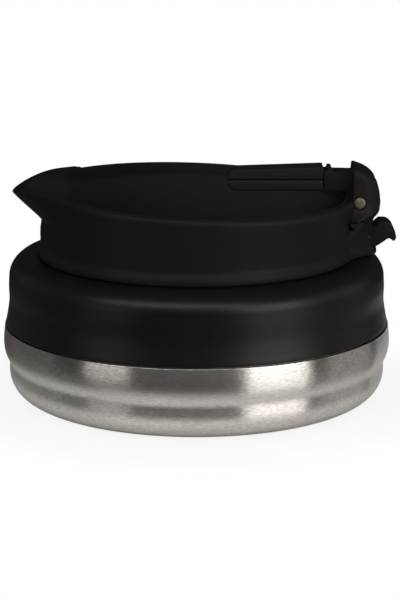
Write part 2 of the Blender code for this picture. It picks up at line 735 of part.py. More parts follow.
def make_handle():
    frame = axis_empty("handle_fold", PIN_X, PIN_Z)
    place = along_y(PIN_X, PIN_Z)
    near = PIN_X - HANDLE_ROOT_LENGTH - GAP
    far = PIN_X - HANDLE_LENGTH
    bottom, parting = PIN_Z + GRIP_BOTTOM, PIN_Z + GRIP_PARTING
    top_near = PIN_Z + HANDLE_TOP
    top_far = top_near - GRIP_TOP_FALL
    tang_far = far + TANG_END_INSET
    tang_low = PIN_Z + TANG_BOTTOM
    tang_high = tang_low + TANG_HEIGHT

    outline = arc(PIN_X, PIN_Z, EYE_RADIUS, -210, 5, 12)
    outline += [(PIN_X + HANDLE_ROOT_LENGTH * x, PIN_Z + HANDLE_TOP * z) for x, z in ROOT_OUTLINE_SHARES]
    arm = solid("handle_arm", slab(outline, EYE_HALF_WIDTH), BLACK_NYLON, frame)
    tang = block((tang_far, -TANG_HALF_WIDTH, tang_low), (near + OVERRUN, TANG_HALF_WIDTH, tang_high))
    combine(arm, "arm_tang", tang, "UNION")
    eye_reach = EYE_HALF_WIDTH + OVERRUN
    combine(arm, "eye_bore", rod(BUSH_RADIUS + GAP, -eye_reach, eye_reach, place))

    lower = [(near, bottom), (near, parting - GAP), (far, parting - GAP)]
    lower += arc(far + GRIP_END_ROUND, bottom + GRIP_END_ROUND, GRIP_END_ROUND, 180, 270, 4)
    upper = [(near, parting), (near, top_near)]
    upper += arc(far + GRIP_END_ROUND, top_far - GRIP_END_ROUND, GRIP_END_ROUND, 90, 180, 4)
    upper += [(far, parting)]
    grips = []
    for name, shell in (("grip_lower", lower), ("grip_upper", upper)):
        grip = solid(name, slab(shell, GRIP_HALF_WIDTH), BLACK_NYLON, frame)
        edge = grip.modifiers.new("edge", "BEVEL")
        edge.width = GRIP_EDGE
        edge.segments = 2
        edge.limit_method = "ANGLE"
        edge.angle_limit = math.radians(SMOOTH_ANGLE_DEG)
        half = TANG_HALF_WIDTH + GAP
        groove = block((tang_far - GAP, -half, tang_low - GAP), (near + OVERRUN, half, tang_high + GAP))
        combine(grip, f"{name}_groove", groove)
        grips.append(grip)

    start = bottom + GRIP_SCREW_SINK
    head = start + GRIP_SCREW_HEAD_THICK
    tip = tang_high + GRIP_SCREW_BITE
    screw = screw_outline(start, GRIP_SCREW_HEAD_RADIUS, head, GRIP_SCREW_RADIUS, tip)
    room_head, room_shank = GRIP_SCREW_HEAD_RADIUS + GAP, GRIP_SCREW_RADIUS + GAP
    room = screw_outline(bottom - OVERRUN, room_head, head + GAP, room_shank, tip + GAP)
    for name, share in GRIP_SCREW_SHARES:
        spot = Matrix.Translation((near + (far - near) * share, 0, 0))
        solid(name, turned(screw, SMALL_STEPS, spot), BRUSHED_STEEL, frame)
        for holder in (arm, *grips):
            combine(holder, f"{holder.name}_{name}_bore", turned(room, SMALL_STEPS, spot))

    bush = collar_ring(BUSH_INNER, BUSH_RADIUS, -EYE_HALF_WIDTH, EYE_HALF_WIDTH)
    solid("eye_bush", turned(bush, SMALL_STEPS, place), BRASS, frame)
    for name, side in (("washer_near", -1), ("washer_far", 1)):
        inner = side * (EYE_HALF_WIDTH + GAP)
        washer = collar_ring(BUSH_INNER, WASHER_RADIUS, inner, inner + side * WASHER_THICK)
        solid(name, turned(washer, SMALL_STEPS, place), BLACK_NYLON, frame)


def make_catch():
    frame = axis_empty("catch_press", CATCH_X, CATCH_Z)
    place = along_y(CATCH_X, CATCH_Z)
    outline = [(CATCH_X + CATCH_LENGTH * x, CATCH_Z + CATCH_HEIGHT * z) for x, z in CATCH_OUTLINE_SHARES]
    catch = solid("handle_catch", slab(outline, CATCH_HALF_WIDTH), BLACK_NYLON, frame)
    reach = CATCH_HALF_WIDTH + OVERRUN
    combine(catch, "catch_bore", rod(CATCH_PIN_RADIUS + GAP, -reach, reach, place))
    pin_half = CAVITY_HALF + CATCH_PIN_END - GAP
    solid("catch_pin", rod(CATCH_PIN_RADIUS, -pin_half, pin_half, place), BRUSHED_STEEL)
    floor, back = CAVITY_Z + GAP, CAVITY_X + GAP
    bend, tip = back + LEAF_FLAT, back + LEAF_FLAT + LEAF_REACH
    leaf = [
        (back, floor),
        (bend, floor),
        (tip, floor + LEAF_RISE),
        (tip, floor + LEAF_RISE + LEAF_THICK),
        (bend, floor + LEAF_THICK),
        (back, floor + LEAF_THICK),
    ]
    solid("catch_leaf_spring", slab(leaf, LEAF_HALF_WIDTH), BRUSHED_STEEL)


def main():
    clear_scene()
    make_steel_pan()
    make_neck_ring()
    make_sleeve()
    make_folded_wall()
    make_pouring_collar()
    make_cuff_ring()
    make_lid()
    make_handle_pin()
    make_handle()
    make_catch()


main()
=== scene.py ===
import json
from functools import partial
from math import cos, exp, pi, radians, sin, sqrt, tan

import bpy
import bmesh
from mathutils import Matrix, Vector


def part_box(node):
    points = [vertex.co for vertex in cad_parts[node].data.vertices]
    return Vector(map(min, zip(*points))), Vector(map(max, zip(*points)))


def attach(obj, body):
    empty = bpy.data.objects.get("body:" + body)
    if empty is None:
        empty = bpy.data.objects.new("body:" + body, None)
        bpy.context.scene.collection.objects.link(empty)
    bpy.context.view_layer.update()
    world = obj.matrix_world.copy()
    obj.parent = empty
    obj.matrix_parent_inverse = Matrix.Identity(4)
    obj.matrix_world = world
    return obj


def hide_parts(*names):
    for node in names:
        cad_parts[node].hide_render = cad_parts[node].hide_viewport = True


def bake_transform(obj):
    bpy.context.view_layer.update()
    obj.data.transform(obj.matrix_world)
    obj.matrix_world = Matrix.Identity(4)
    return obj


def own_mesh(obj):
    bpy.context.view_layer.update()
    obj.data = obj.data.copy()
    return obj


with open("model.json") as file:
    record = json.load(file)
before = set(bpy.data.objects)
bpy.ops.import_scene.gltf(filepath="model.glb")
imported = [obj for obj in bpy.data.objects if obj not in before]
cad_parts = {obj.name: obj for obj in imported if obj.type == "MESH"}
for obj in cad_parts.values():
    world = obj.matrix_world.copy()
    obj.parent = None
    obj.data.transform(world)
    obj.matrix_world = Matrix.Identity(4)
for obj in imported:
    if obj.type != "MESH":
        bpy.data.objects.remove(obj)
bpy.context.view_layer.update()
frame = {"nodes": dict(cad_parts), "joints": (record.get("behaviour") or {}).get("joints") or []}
print("frame is in:", len(frame["nodes"]), "nodes")

mm = 0.001
weldGap = 0.000002  # points nearer than this become one, in metres
smoothBelow = 32  # faces that meet at less than this are shaded as one, in degrees
scene = bpy.context.scene
joints = {j["name"]: j for j in frame["joints"]}
pinX, pinZ = (joints["handle_fold"]["pos_m"][i] / mm for i in (0, 2))
catchX, catchZ = (joints["catch_press"]["pos_m"][i] / mm for i in (0, 2))


# Heights and radii read off the frame, in millimetres
def top(node):
    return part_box(node)[1].z / mm


def bottom(node):
    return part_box(node)[0].z / mm


def reach(node):
    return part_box(node)[1].y / mm


clearance = 0.3  # between pieces that fit into each other
overrun = 4.0  # how far a cutting tool stands out of what it cuts
boreHalf = 12.0  # half the length of a tool that bores through a piece
skirtWall = 1.5
panRadius, seamZ, shelfZ = reach("steel_pan"), bottom("silicone_sleeve"), top("silicone_sleeve")
skirtZ, collarTop = bottom("pouring_collar"), top("pouring_collar")
collarInner = reach("cuff_ring") + clearance
collarZ = shelfZ + clearance
foldInner = collarInner + skirtWall + clearance


def shaderMath(kind):
    return lambda one, other: one.graph.add("ShaderNodeMath", {"operation": kind}, (one, other))


class Wire:  # a shader socket that can be added, multiplied and so on
    def __init__(self, graph, socket):
        self.graph, self.socket = graph, socket

    __add__ = __radd__ = shaderMath("ADD")
    __mul__ = __rmul__ = shaderMath("MULTIPLY")
    __sub__, __truediv__, __pow__ = shaderMath("SUBTRACT"), shaderMath("DIVIDE"), shaderMath("POWER")

    def __rsub__(self, other):
        return self.graph.add("ShaderNodeMath", {"operation": "SUBTRACT"}, (other, self))


class Graph:
    def __init__(self, owner):
        self.tree = owner.node_tree

    def add(self, kind, settings=None, values=(), out=0):
        node = self.tree.nodes.new(kind)
        for key, value in (settings or {}).items():
            setattr(node, key, value)
        for key, value in values.items() if isinstance(values, dict) else enumerate(values):
            self.feed(node.inputs[key], value)
        return Wire(self, node.outputs[out])

    def feed(self, socket, value):
        if isinstance(value, Wire):
            self.tree.links.new(value.socket, socket)
        else:
            socket.default_value = value

    def dress(self, shader, **values):
        for key, value in values.items():
            self.feed(shader.inputs[key.replace("_", " ")], value)

    def place(self):
        return self.add("ShaderNodeTexCoord", out="Object")

    def split(self, vector):
        node = self.add("ShaderNodeSeparateXYZ", values=(vector,)).socket.node
        return [Wire(self, socket) for socket in node.outputs]

    def join(self, x, y, z):
        return self.add("ShaderNodeCombineXYZ", values=(x, y, z))

    def noise(self, settings, vector=None):
        values = dict(zip(("Scale", "Detail", "Roughness"), settings), Vector=vector or self.place())
        return self.add("ShaderNodeTexNoise", values=values)

    def ramp(self, value, start, end):  # from 0 at one value to 1 at the other
        wire = self.add("ShaderNodeValToRGB", values=(value,))
        for stop, place, tone in zip(wire.socket.node.color_ramp.elements, (start, end), (0.0, 1.0)):
            stop.position, stop.color = place, (tone, tone, tone, 1)
        return wire

    def tint(self, amount, one, other):
        return self.add("ShaderNodeMix", {"data_type": "RGBA"}, {0: amount, 6: one, 7: other}, 2)

    def bump(self, height, strength, depth):
        values = {"Strength": strength, "Distance": depth * mm, "Height": height}
        return self.add("ShaderNodeBump", values=values)

    def metal(self, mat, shader, look, tone, uneven, relief=None):
        rough = look["roughness"] + look["roughnessSpread"] * uneven
        self.dress(shader, Base_Color=self.tint(tone, look["dark"], look["light"]), Roughness=rough)
        if relief:
            self.dress(shader, Normal=self.bump(relief, look["bump"], look["depth"]))
        return mat


def newFinish(name, **constants):
    mat = bpy.data.materials.new(name)
    mat.use_nodes = True
    graph = Graph(mat)
    shader = graph.tree.nodes["Principled BSDF"]
    graph.dress(shader, **constants)
    return mat, graph, shader


# In the looks a noise is its scale, detail and roughness, and a length is in millimetres.
# Steel brushed round the axis: long streaks along the turn, fine lines across it
steelLook = {
    "light": (0.78, 0.765, 0.75, 1), "dark": (0.43, 0.42, 0.41, 1), "roughness": 0.25,
    "roughnessSpread": 0.03, "stretch": 0.85, "stretchTurn": 0.25, "streakLength": 2.0,
    "lineWidth": 0.45, "depth": 0.0025, "bump": 0.5, "fine": (1.0, 2.0, 0.6),
    "broad": (1.0, 3.0, 0.55), "broadAlong": 0.4, "broadAcross": 0.16, "stain": (30.0, 2.0, 0.55),
    # shares of fine and broad streaks in the tone, and of broad ones and stains in the roughness
    "toneShares": (0.85, 0.15), "toneFromTo": (0.3, 0.7), "unevenShares": (0.7, 0.3),
}


def brushedSteel(name, look=steelLook):
    stretch, turn = look["stretch"], look["stretchTurn"]
    mat, g, shader = newFinish(name, Metallic=1.0, Anisotropic=stretch, Anisotropic_Rotation=turn)
    x, y, z = g.split(g.place())
    across = (x * x + y * y) ** 0.5
    along, over = 1000 / look["streakLength"], 1000 / look["lineWidth"]
    longer, wider = look["broadAlong"], look["broadAcross"]
    fine = g.noise(look["fine"], g.join(x * along, y * along, (z + across) * over))
    streaks = g.join(x * along * longer, y * along * longer, (z + across) * over * wider)
    broad, stain = g.noise(look["broad"], streaks), g.noise(look["stain"])
    fineShare, broadShare = look["toneShares"]
    streakShare, stainShare = look["unevenShares"]
    tone = g.ramp(fine * fineShare + broad * broadShare, *look["toneFromTo"])
    return g.metal(mat, shader, look, tone, broad * streakShare + stain * stainShare, fine)


plainLook = {
    "light": (0.60, 0.59, 0.575, 1), "dark": (0.42, 0.41, 0.40, 1), "roughness": 0.3,
    "roughnessSpread": 0.25, "marks": (900.0, 4.0, 0.7), "marksFromTo": (0.35, 0.62), "depth": 0.02,
    "bump": 0.3,
}


def plainSteel(name, look=plainLook):
    mat, g, shader = newFinish(name, Metallic=1.0)
    marks = g.noise(look["marks"])
    return g.metal(mat, shader, look, g.ramp(marks, *look["marksFromTo"]), marks, marks)


# Satin black: a cloudy base, sparse dust or scuffs, and a fine grain
siliconeLook = {
    "deep": (0.0046, 0.0044, 0.0052, 1), "marked": (0.0086, 0.0082, 0.0089, 1), "specular": 0.23,
    "roughness": 0.31, "cloud": (45.0, 4.0, 0.6), "cloudShare": 0.6, "cloudRoughness": 0.10,
    "marks": (1600.0, 2.0, 0.5), "marksFromTo": (0.70, 0.78), "marksShare": 0.4, "marksRoughness": 0.06,
    "grainWidth": 0.10, "grain": (2.0, 0.5), "grainDepth": 0.006, "bump": 0.35,
}
nylonLook = {
    **siliconeLook,
    "deep": (0.0080, 0.0075, 0.0069, 1), "marked": (0.0135, 0.0128, 0.0118, 1), "specular": 0.088,
    # painted light: a lighter tone painted on the collar's inside, where its attribute is set, and how
    # much more of it in the clouds
    "paintedLightTone": (0.0262, 0.0248, 0.0226, 1), "paintedLightShares": (0.8, 0.4),
    "roughness": 0.42, "cloud": (60.0, 4.0, 0.6), "cloudShare": 0.4,
    "marks": (420.0, 5.0, 0.7), "marksFromTo": (0.60, 0.74), "marksRoughness": 0.10,
    "grainWidth": 0.16, "grain": (1.0, 0.5), "grainDepth": 0.010, "bump": 0.4,
}
handledLook = {**nylonLook, "deep": (0.0112, 0.0103, 0.0094, 1), "marked": (0.0180, 0.0168, 0.0154, 1)}


def satinBlack(name, look):
    mat, g, shader = newFinish(name, Specular_IOR_Level=look["specular"])
    cloud, grain = g.noise(look["cloud"]), g.noise((1000 / look["grainWidth"], *look["grain"]))
    marks = g.ramp(g.noise(look["marks"]), *look["marksFromTo"])
    colour = g.tint(cloud * look["cloudShare"] + marks * look["marksShare"], look["deep"], look["marked"])
    # painted light: where the attribute marks the collar's inside, the colour is tinted lighter to stand
    # in for light
    if "paintedLightTone" in look:
        insideLightMask = g.add("ShaderNodeAttribute", {"attribute_name": "paintedInsideLight"}, out="Fac")
        least, more = look["paintedLightShares"]
        colour = g.tint(insideLightMask * (least + more * cloud), colour, look["paintedLightTone"])
    g.dress(
        shader,
        Base_Color=colour,
        Roughness=look["roughness"] + look["cloudRoughness"] * cloud + look["marksRoughness"] * marks,
        Normal=g.bump(grain, look["bump"], look["grainDepth"]),
    )
    return mat


brassLook = {
    "light": (0.66, 0.50, 0.26, 1), "dark": (0.50, 0.36, 0.17, 1), "roughness": 0.25,
    "roughnessSpread": 0.2, "lines": (1.0, 2.0, 0.55), "linesAround": 200, "linesAlong": 6000,
}


def turnedBrass(name, look=brassLook):
    mat, g, shader = newFinish(name, Metallic=1.0)
    x, y, z = g.split(g.place())
    around = look["linesAround"]
    lines = g.noise(look["lines"], g.join(x * around, y * look["linesAlong"], z * around))
    return g.metal(mat, shader, look, lines, lines)


wornLook = {**plainLook, "light": (0.27, 0.24, 0.21, 1), "dark": (0.10, 0.09, 0.08, 1), "roughness": 0.42}
steel = brushedSteel("brushedSteel")
hardware = plainSteel("plainSteel")
silicone = satinBlack("blackSilicone", siliconeLook)
nylon = satinBlack("blackNylon", nylonLook)
handledNylon = satinBlack("handledNylon", handledLook)
brass = turnedBrass("turnedBrass")
wornPin = plainSteel("wornPin", wornLook)
print("finishes are made")


# Outlines
def clamp(value):
    return min(1, max(0, value))


def eased(share):  # from 0 to 1, level at both ends
    return share * share * (3 - 2 * share)


def bell(distance, spread):
    return exp(-((distance / spread) ** 2))


def arc(x, z, radius, start, end, steps):
    turns = [radians(start + (end - start) * k / steps) for k in range(steps + 1)]
    return [(x + radius * cos(t), z + radius * sin(t)) for t in turns]


def between(a, b, c, d, t):  # on a smooth curve through four values, from the second to the third
    square, cube = 2 * a - 5 * b + 4 * c - d, 3 * b - a - 3 * c + d
    return 0.5 * (2 * b + (c - a) * t + square * t * t + cube * t ** 3)


def smooth(points, steps=6):  # a curve through the points
    ends = [points[0], *points, points[-1]]
    out = []
    for four in zip(ends, ends[1:], ends[2:], ends[3:]):
        out += [tuple(between(*values, k / steps) for values in zip(*four)) for k in range(steps)]
    return out + [points[-1]]


def reader(table, steps=12):  # reads a smooth curve through a table of pairs
    curve = smooth(table, steps)

    def read(value):
        for (a, fa), (b, fb) in zip(curve, curve[1:]):
            if value <= b:
                return fa + (fb - fa) * (value - a) / max(b - a, 1e-9)
        return curve[-1][1]

    return read


def rounded(corners, radius, steps=4):  # a closed outline with its corners rounded
    sideShare = 0.45  # a corner takes no more than this of the sides beside it
    out = []
    count = len(corners)
    for k in range(count):
        before, here, after = (Vector(corners[(k + i) % count]) for i in (-1, 0, 1))
        one, other = before - here, after - here
        size = min(radius, one.length * sideShare, other.length * sideShare)
        start, end = here + one.normalized() * size, here + other.normalized() * size
        for i in range(steps + 1):
            t = i / steps
            out.append(tuple(start * (1 - t) ** 2 + here * 2 * t * (1 - t) + end * t * t))
    return out


# Meshes
def linked(name, data):
    item = bpy.data.objects.new(name, data)
    scene.collection.objects.link(item)
    return item


def pieceFrom(name, work, finish, sharpAngle=smoothBelow):
    bmesh.ops.remove_doubles(work, verts=work.verts, dist=weldGap)
    bmesh.ops.dissolve_degenerate(work, edges=work.edges, dist=weldGap)
    bmesh.ops.recalc_face_normals(work, faces=work.faces)
    mesh = bpy.data.meshes.new(name)
    work.to_mesh(mesh)
    work.free()
    mesh.shade_smooth()
    mesh.set_sharp_from_angle(angle=radians(sharpAngle))
    mesh.materials.append(finish)
    return linked(name, mesh)


def flatten(piece):  # what the modifiers show becomes the mesh
    shown = piece.evaluated_get(bpy.context.evaluated_depsgraph_get())
    mesh = bpy.data.meshes.new_from_object(shown)
    piece.modifiers.clear()
    piece.data = mesh
    mesh.shade_smooth()
    mesh.set_sharp_from_angle(angle=radians(smoothBelow))


def carve(piece, *tools, how="DIFFERENCE"):
    for work in tools:
        tool = pieceFrom("tool", work, piece.data.materials[0])
        change = piece.modifiers.new("carve", "BOOLEAN")
        change.object, change.operation, change.solver = tool, how, "EXACT"
        flatten(piece)
        bpy.data.objects.remove(tool, do_unlink=True)


def edged(piece, width, steps=3, angle=30):
    edge = piece.modifiers.new("edge", "BEVEL")
    edge.width, edge.segments = width * mm, steps
    edge.limit_method, edge.angle_limit = "ANGLE", radians(angle)
    flatten(piece)


def spun(outline, steps=48, turnTo=Matrix()):
    work = bmesh.new()
    chain = [work.verts.new((r * mm, 0, z * mm)) for r, z in outline]
    edges = [work.edges.new(pair) for pair in zip(chain, chain[1:])]
    if outline[0][0] > 0:
        edges.append(work.edges.new((chain[-1], chain[0])))
    full = {"axis": (0, 0, 1), "angle": 2 * pi, "steps": steps, "use_merge": True}
    bmesh.ops.spin(work, geom=chain + edges, cent=(0, 0, 0), **full)
    bmesh.ops.remove_doubles(work, verts=work.verts, dist=weldGap)
    bmesh.ops.transform(work, matrix=turnTo, verts=work.verts)
    return work


def rod(radius, low, high, turnTo, steps=40):
    return spun([(0, low), (radius, low), (radius, high), (0, high)], steps, turnTo)


def lyingAt(x, z):  # from standing on the origin to lying along +Y
    return Matrix.Translation((x * mm, 0, z * mm)) @ Matrix.Rotation(-pi / 2, 4, "X")


def plate(outline, low, high):  # an outline in XZ, from one y to another
    work = bmesh.new()
    face = work.faces.new([work.verts.new((x * mm, low * mm, z * mm)) for x, z in outline])
    grown = bmesh.ops.extrude_face_region(work, geom=[face])
    moved = [v for v in grown["geom"] if isinstance(v, bmesh.types.BMVert)]
    bmesh.ops.translate(work, vec=(0, (high - low) * mm, 0), verts=moved)
    return work


def brick(low, high):
    corners = [(low[0], low[2]), (high[0], low[2]), (high[0], high[2]), (low[0], high[2])]
    return plate(corners, low[1], high[1])


def skin(rows, ring):  # equal loops of points joined into one closed surface
    work = bmesh.new()
    loops = [[work.verts.new(Vector(p) * mm) for p in row] for row in rows]
    pairs = list(zip(loops, loops[1:]))
    if ring:
        pairs.append((loops[-1], loops[0]))
    else:
        work.faces.new(loops[0])
        work.faces.new(loops[-1])
    for one, other in pairs:
        for k in range(len(one)):
            n = (k + 1) % len(one)
            work.faces.new((one[k], one[n], other[n], other[k]))
    bmesh.ops.triangulate(work, faces=[f for f in work.faces if len(f.verts) > 4])
    return work


def settle(piece, body, nodes):
    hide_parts(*nodes)
    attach(piece, body)


# Geometry Nodes: one tree turns any outline round the kettle's axis
def newTree(name, **inputs):
    tree = bpy.data.node_groups.new(name, "GeometryNodeTree")
    tree.interface.new_socket("Geometry", in_out="INPUT", socket_type="NodeSocketGeometry")
    for label, kind in inputs.items():
        tree.interface.new_socket(label, in_out="INPUT", socket_type="NodeSocket" + kind)
    tree.interface.new_socket("Geometry", in_out="OUTPUT", socket_type="NodeSocketGeometry")
    return tree


def treeNode(tree, kind, values=None, **settings):
    node = tree.nodes.new(kind if "Node" in kind else "GeometryNode" + kind)
    for key, value in settings.items():
        setattr(node, key, value)
    for key, value in (values or {}).items():
        if hasattr(value, "links"):
            tree.links.new(value, node.inputs[key])
        else:
            node.inputs[key].default_value = value
    return node.outputs


def treeMath(tree, operation, one, other):
    return treeNode(tree, "ShaderNodeMath", {0: one, 1: other}, operation=operation)[0]


def endTree(tree, shape, finish):
    real = treeNode(tree, "RealizeInstances", {"Geometry": shape})
    done = treeNode(tree, "SetMaterial", {"Geometry": real[0], "Material": finish})
    treeNode(tree, "NodeGroupOutput", {"Geometry": done[0]})
    return tree


def runTree(piece, tree, **values):
    change = piece.modifiers.new(tree.name, "NODES")
    change.node_group = tree
    for item in tree.interface.items_tree:
        if item.item_type == "SOCKET" and item.in_out == "INPUT" and item.name in values:
            change[item.identifier] = values[item.name]
    flatten(piece)


def makeTurnTree():
    tree = newTree("turnOutline", Steps="Int", Middle="Float", Finish="Material")
    node, maths = partial(treeNode, tree), partial(treeMath, tree)
    given = node("NodeGroupInput")
    outline = node("MeshToCurve", {"Mesh": given[0]})
    shift = node("ShaderNodeCombineXYZ", {"X": maths("MULTIPLY", given["Middle"], -1.0)})
    moved = node("Transform", {"Geometry": outline[0], "Translation": shift[0]})
    stood = node("Transform", {"Geometry": moved[0], "Rotation": (pi / 2, 0, 0)})
    circle = node("CurvePrimitiveCircle", {"Resolution": given["Steps"], "Radius": given["Middle"]})
    swept = node("CurveToMesh", {"Curve": circle[0], "Profile Curve": stood[0]})
    return endTree(tree, swept[0], given["Finish"])


turnTree = makeTurnTree()


def turned(name, outline, finish, steps=180, sharpAngle=smoothBelow):
    mesh = bpy.data.meshes.new(name + "Outline")
    links = [(k, k + 1) for k in range(len(outline) - 1)]
    if outline[0][0] > 0:
        links.append((len(outline) - 1, 0))
    mesh.from_pydata([(r * mm, 0, z * mm) for r, z in outline], links, [])
    piece = linked(name + "Outline", mesh)
    middle = max(r for r, z in outline) * mm / 2
    runTree(piece, turnTree, Steps=steps, Middle=middle, Finish=finish)
    work = bmesh.new()
    work.from_mesh(piece.data)
    bpy.data.objects.remove(piece, do_unlink=True)
    return pieceFrom(name, work, finish, sharpAngle)


# Steel pan
pan = {
    "corner": 12, "lowerRadius": panRadius - 2.5, "wall": 1, "footRadius": 58, "footRise": 0.6,
    # from the raised middle to the foot: out from the foot's radius, up from the middle's height
    "footEdge": [(-2, 0), (-1.2, -0.1), (0, -0.5), (0.8, -0.6)],
    # the soft step and the band: how far in from the widest radius, and the height
    "side": [
        (2.5, 12.2), (2.5, 15), (2.47, 16), (2.33, 17), (2, 18), (1.53, 19), (1.07, 20), (0.68, 21.1),
        (0.4, 22.2), (0.2, 23.3), (0.07, 24.5), (0, 26), (0.03, 27.6), (0.18, 29.5), (0.4, 31.5),
        (0.6, 33), (0.68, 33.7), (0.84, 33.9), (1.25, 33.95),
    ],
    # the same on the inside, down to where the step begins
    "inside": [(2, 33.9), (2.2, 33.6), (1.5, 32.2), (1, 30), (1, 26.2)], "insideStep": 16.2,
}


def makePan():
    low, corner, wall = pan["lowerRadius"], pan["corner"], pan["wall"]
    foot, rise = pan["footRadius"], pan["footRise"]
    edge = [(foot + out, rise + up) for out, up in pan["footEdge"]]
    outline = [(0, rise), *edge]
    outline += arc(low - corner, corner, corner, -90, 0, 18)
    outline += smooth([(panRadius - inset, z) for inset, z in pan["side"]], 5)
    outline += [(panRadius - inset, z) for inset, z in pan["inside"]]
    outline += [(low - wall, pan["insideStep"])]
    outline += arc(low - corner, corner, corner - wall, 0, -90, 12)
    outline += [(foot, wall), (edge[0][0], wall + rise), (0, wall + rise)]
    piece = turned("steelPan", outline, steel, steps=240, sharpAngle=40)
    settle(piece, "base", ["steel_pan"])


# Silicone sleeve that stays on the pan, and the two legs of the fold inside it
sleeve = {
    "inset": 3, "shoulder": 9.7, "wall": 2,
    # inset from the pan's widest radius and height above the seam
    "side": [
        (1.5, 0.05), (1.27, 0.3), (1.27, 1), (1.48, 2.2), (1.82, 3.9), (2.13, 5.7), (2.45, 7.6),
        (2.72, 9.4), (2.88, 11.2), (2.9, 13.4), (2.8, 16), (2.8, 18.4), (2.92, 20.4),
    ],
    # the shelf's inner edge, out from the fold and down from the shelf
    "lip": [(1.6, 0), (0.5, 0.15), (0, 0.8), (0, 1.9), (0.3, 2)],
    # the hem inside the pan, with the groove for its ring: inset and height as on the outside
    "hem": [(5, 10), (5.1, 8.1), (5.1, 5.7), (3.7, 5.7), (3.7, 2.1), (5.1, 2.1), (5.1, 0)],
}


def makeSleeve():
    shoulder, wall = sleeve["shoulder"], sleeve["wall"]
    middle, middleZ = panRadius - sleeve["inset"] - shoulder, shelfZ - shoulder
    outline = smooth([(panRadius - inset, seamZ + z) for inset, z in sleeve["side"]], 4)
    outline += arc(middle, middleZ, shoulder, 2, 90, 22)
    outline += [(foldInner + out, shelfZ - down) for out, down in sleeve["lip"]]
    outline += arc(middle, middleZ, shoulder - wall, 90, 0, 12)
    outline += [(panRadius - inset, seamZ + z) for inset, z in sleeve["hem"]]
    piece = turned("siliconeSleeve", outline, silicone, steps=240, sharpAngle=40)
    settle(piece, "base", ["silicone_sleeve"])


# endAngles: how far each leg stops short of the fold's lowest point, on its inside and its outside
fold = {"wall": 1.6, "taper": 1, "turn": 1.8, "endAngles": (9, 3.5)}


def leg(startR, startZ, endR, endZ, count):  # even points on a line, without its end
    right, up = endR - startR, endZ - startZ
    return [(startR + right * k / count, startZ + up * k / count) for k in range(count)]


def makeFold():
    wall, turn = fold["wall"], fold["turn"]
    tight, wide = turn - wall / 2, turn + wall / 2
    insideEnd, outsideEnd = fold["endAngles"]
    topZ = top("silicone_folding_wall")
    low = bottom("silicone_folding_wall") + wide
    straight = skirtZ - clearance
    middle = foldInner - fold["taper"] + wall / 2 - turn

    innerSide = leg(foldInner, topZ, foldInner, straight, 6)
    innerSide += leg(foldInner, straight, middle + tight, low, 24)
    outerSide = leg(middle + wide, low, foldInner + wall, straight, 24)
    outerSide += leg(foldInner + wall, straight, foldInner + wall, topZ, 6) + [(foldInner + wall, topZ)]
    outline = innerSide + arc(middle, low, tight, 0, insideEnd - 90, 6)
    outline += arc(middle, low, wide, outsideEnd - 90, 0, 9) + outerSide[1:]
    outer = turned("foldOuterLeg", outline, silicone, sharpAngle=50)
    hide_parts("silicone_folding_wall")
    low * mm
    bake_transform(outer)

    cuff, cuffTop = collarInner - clearance, top("silicone_upper_wall")
    bend = bottom("cuff_ring") - clearance
    outline = leg(cuff, cuffTop, cuff, bend, 2) + leg(cuff, bend, middle - tight, low, 8)
    outline += arc(middle, low, tight, -180, -90 - insideEnd, 6)
    outline += arc(middle, low, wide, -90 - outsideEnd, -180, 9)
    outline += [(cuff - wall, bend), (cuff - wall, cuffTop)]
    inner = turned("foldInnerLeg", outline, silicone, sharpAngle=50)
    settle(inner, "collar", ["silicone_upper_wall"])


# Pouring collar: turned wall with a rounded foot, a spout, and the handle bracket moulded on it
collar = {
    "outer": collarInner + 2.5, "flare": 1.2, "height": 29.3, "wall": 2.8,
    # the foot's rounding, its bulge and where that fades, its points' spacing, where the plain wall starts
    "footRound": 0.8, "footBulge": 1.45, "footFadeFromTo": (1.6, 6.4), "footStep": 0.6, "plainFrom": 7,
    # width and height of the rim's rounding on both sides, at the handle and at the spout's tip
    "rimOutside": ((1.7, 2.8), (1.3, 1.3)), "rimInside": ((2.2, 2.4), (1.3, 1.3)), "rimBlend": 4,
    "rimRise": 2.8, "rimLift": 1.6, "rimLiftAngle": 27, "rimLiftSpread": 16,
    # painted light on the inside: it starts and is full at these x, no deeper into the wall than this
    # share of it
    "insideLightFromTo": (-35, 50), "insideLightWallShare": 0.6,
}
spout = {
    "reach": 12.2, "height": 11.3, "ease": 0.78, "softness": 0.001, "rootRoom": 2, "pinch": 1.1,
    "pinchBelow": 1, "pinchSpread": 4, "dip": 2.4, "dipSpread": 11, "halfAngle": 36,
    "plan": [
        (0, 1), (0.05, 0.985), (0.1, 0.945), (0.2, 0.83), (0.39, 0.57), (0.53, 0.41), (0.67, 0.26),
        (0.8, 0.11), (0.9, 0.03), (1, 0),
    ],
}
spoutPlan = reader(spout["plan"])


def rimZ(angle):
    dip = spout["dip"] * bell(angle, spout["dipSpread"])
    lift = collar["rimLift"] * bell(abs(angle) - collar["rimLiftAngle"], collar["rimLiftSpread"])
    return collarZ + collar["height"] + collar["rimRise"] * cos(radians(angle)) + lift - dip


def wallRadius(z):  # outside of the wall, away from the spout
    rise, foot = z - collarZ, collar["footRound"]
    fadeFrom, fadeTo = collar["footFadeFromTo"]
    fade = eased(clamp((rise - fadeFrom) / (fadeTo - fadeFrom)))
    inset = foot - sqrt(max(0, foot ** 2 - max(0, foot - rise) ** 2))
    flared = collar["flare"] * clamp(rise / collar["height"]) ** 2
    return collar["outer"] + flared + collar["footBulge"] * (1 - fade) - inset


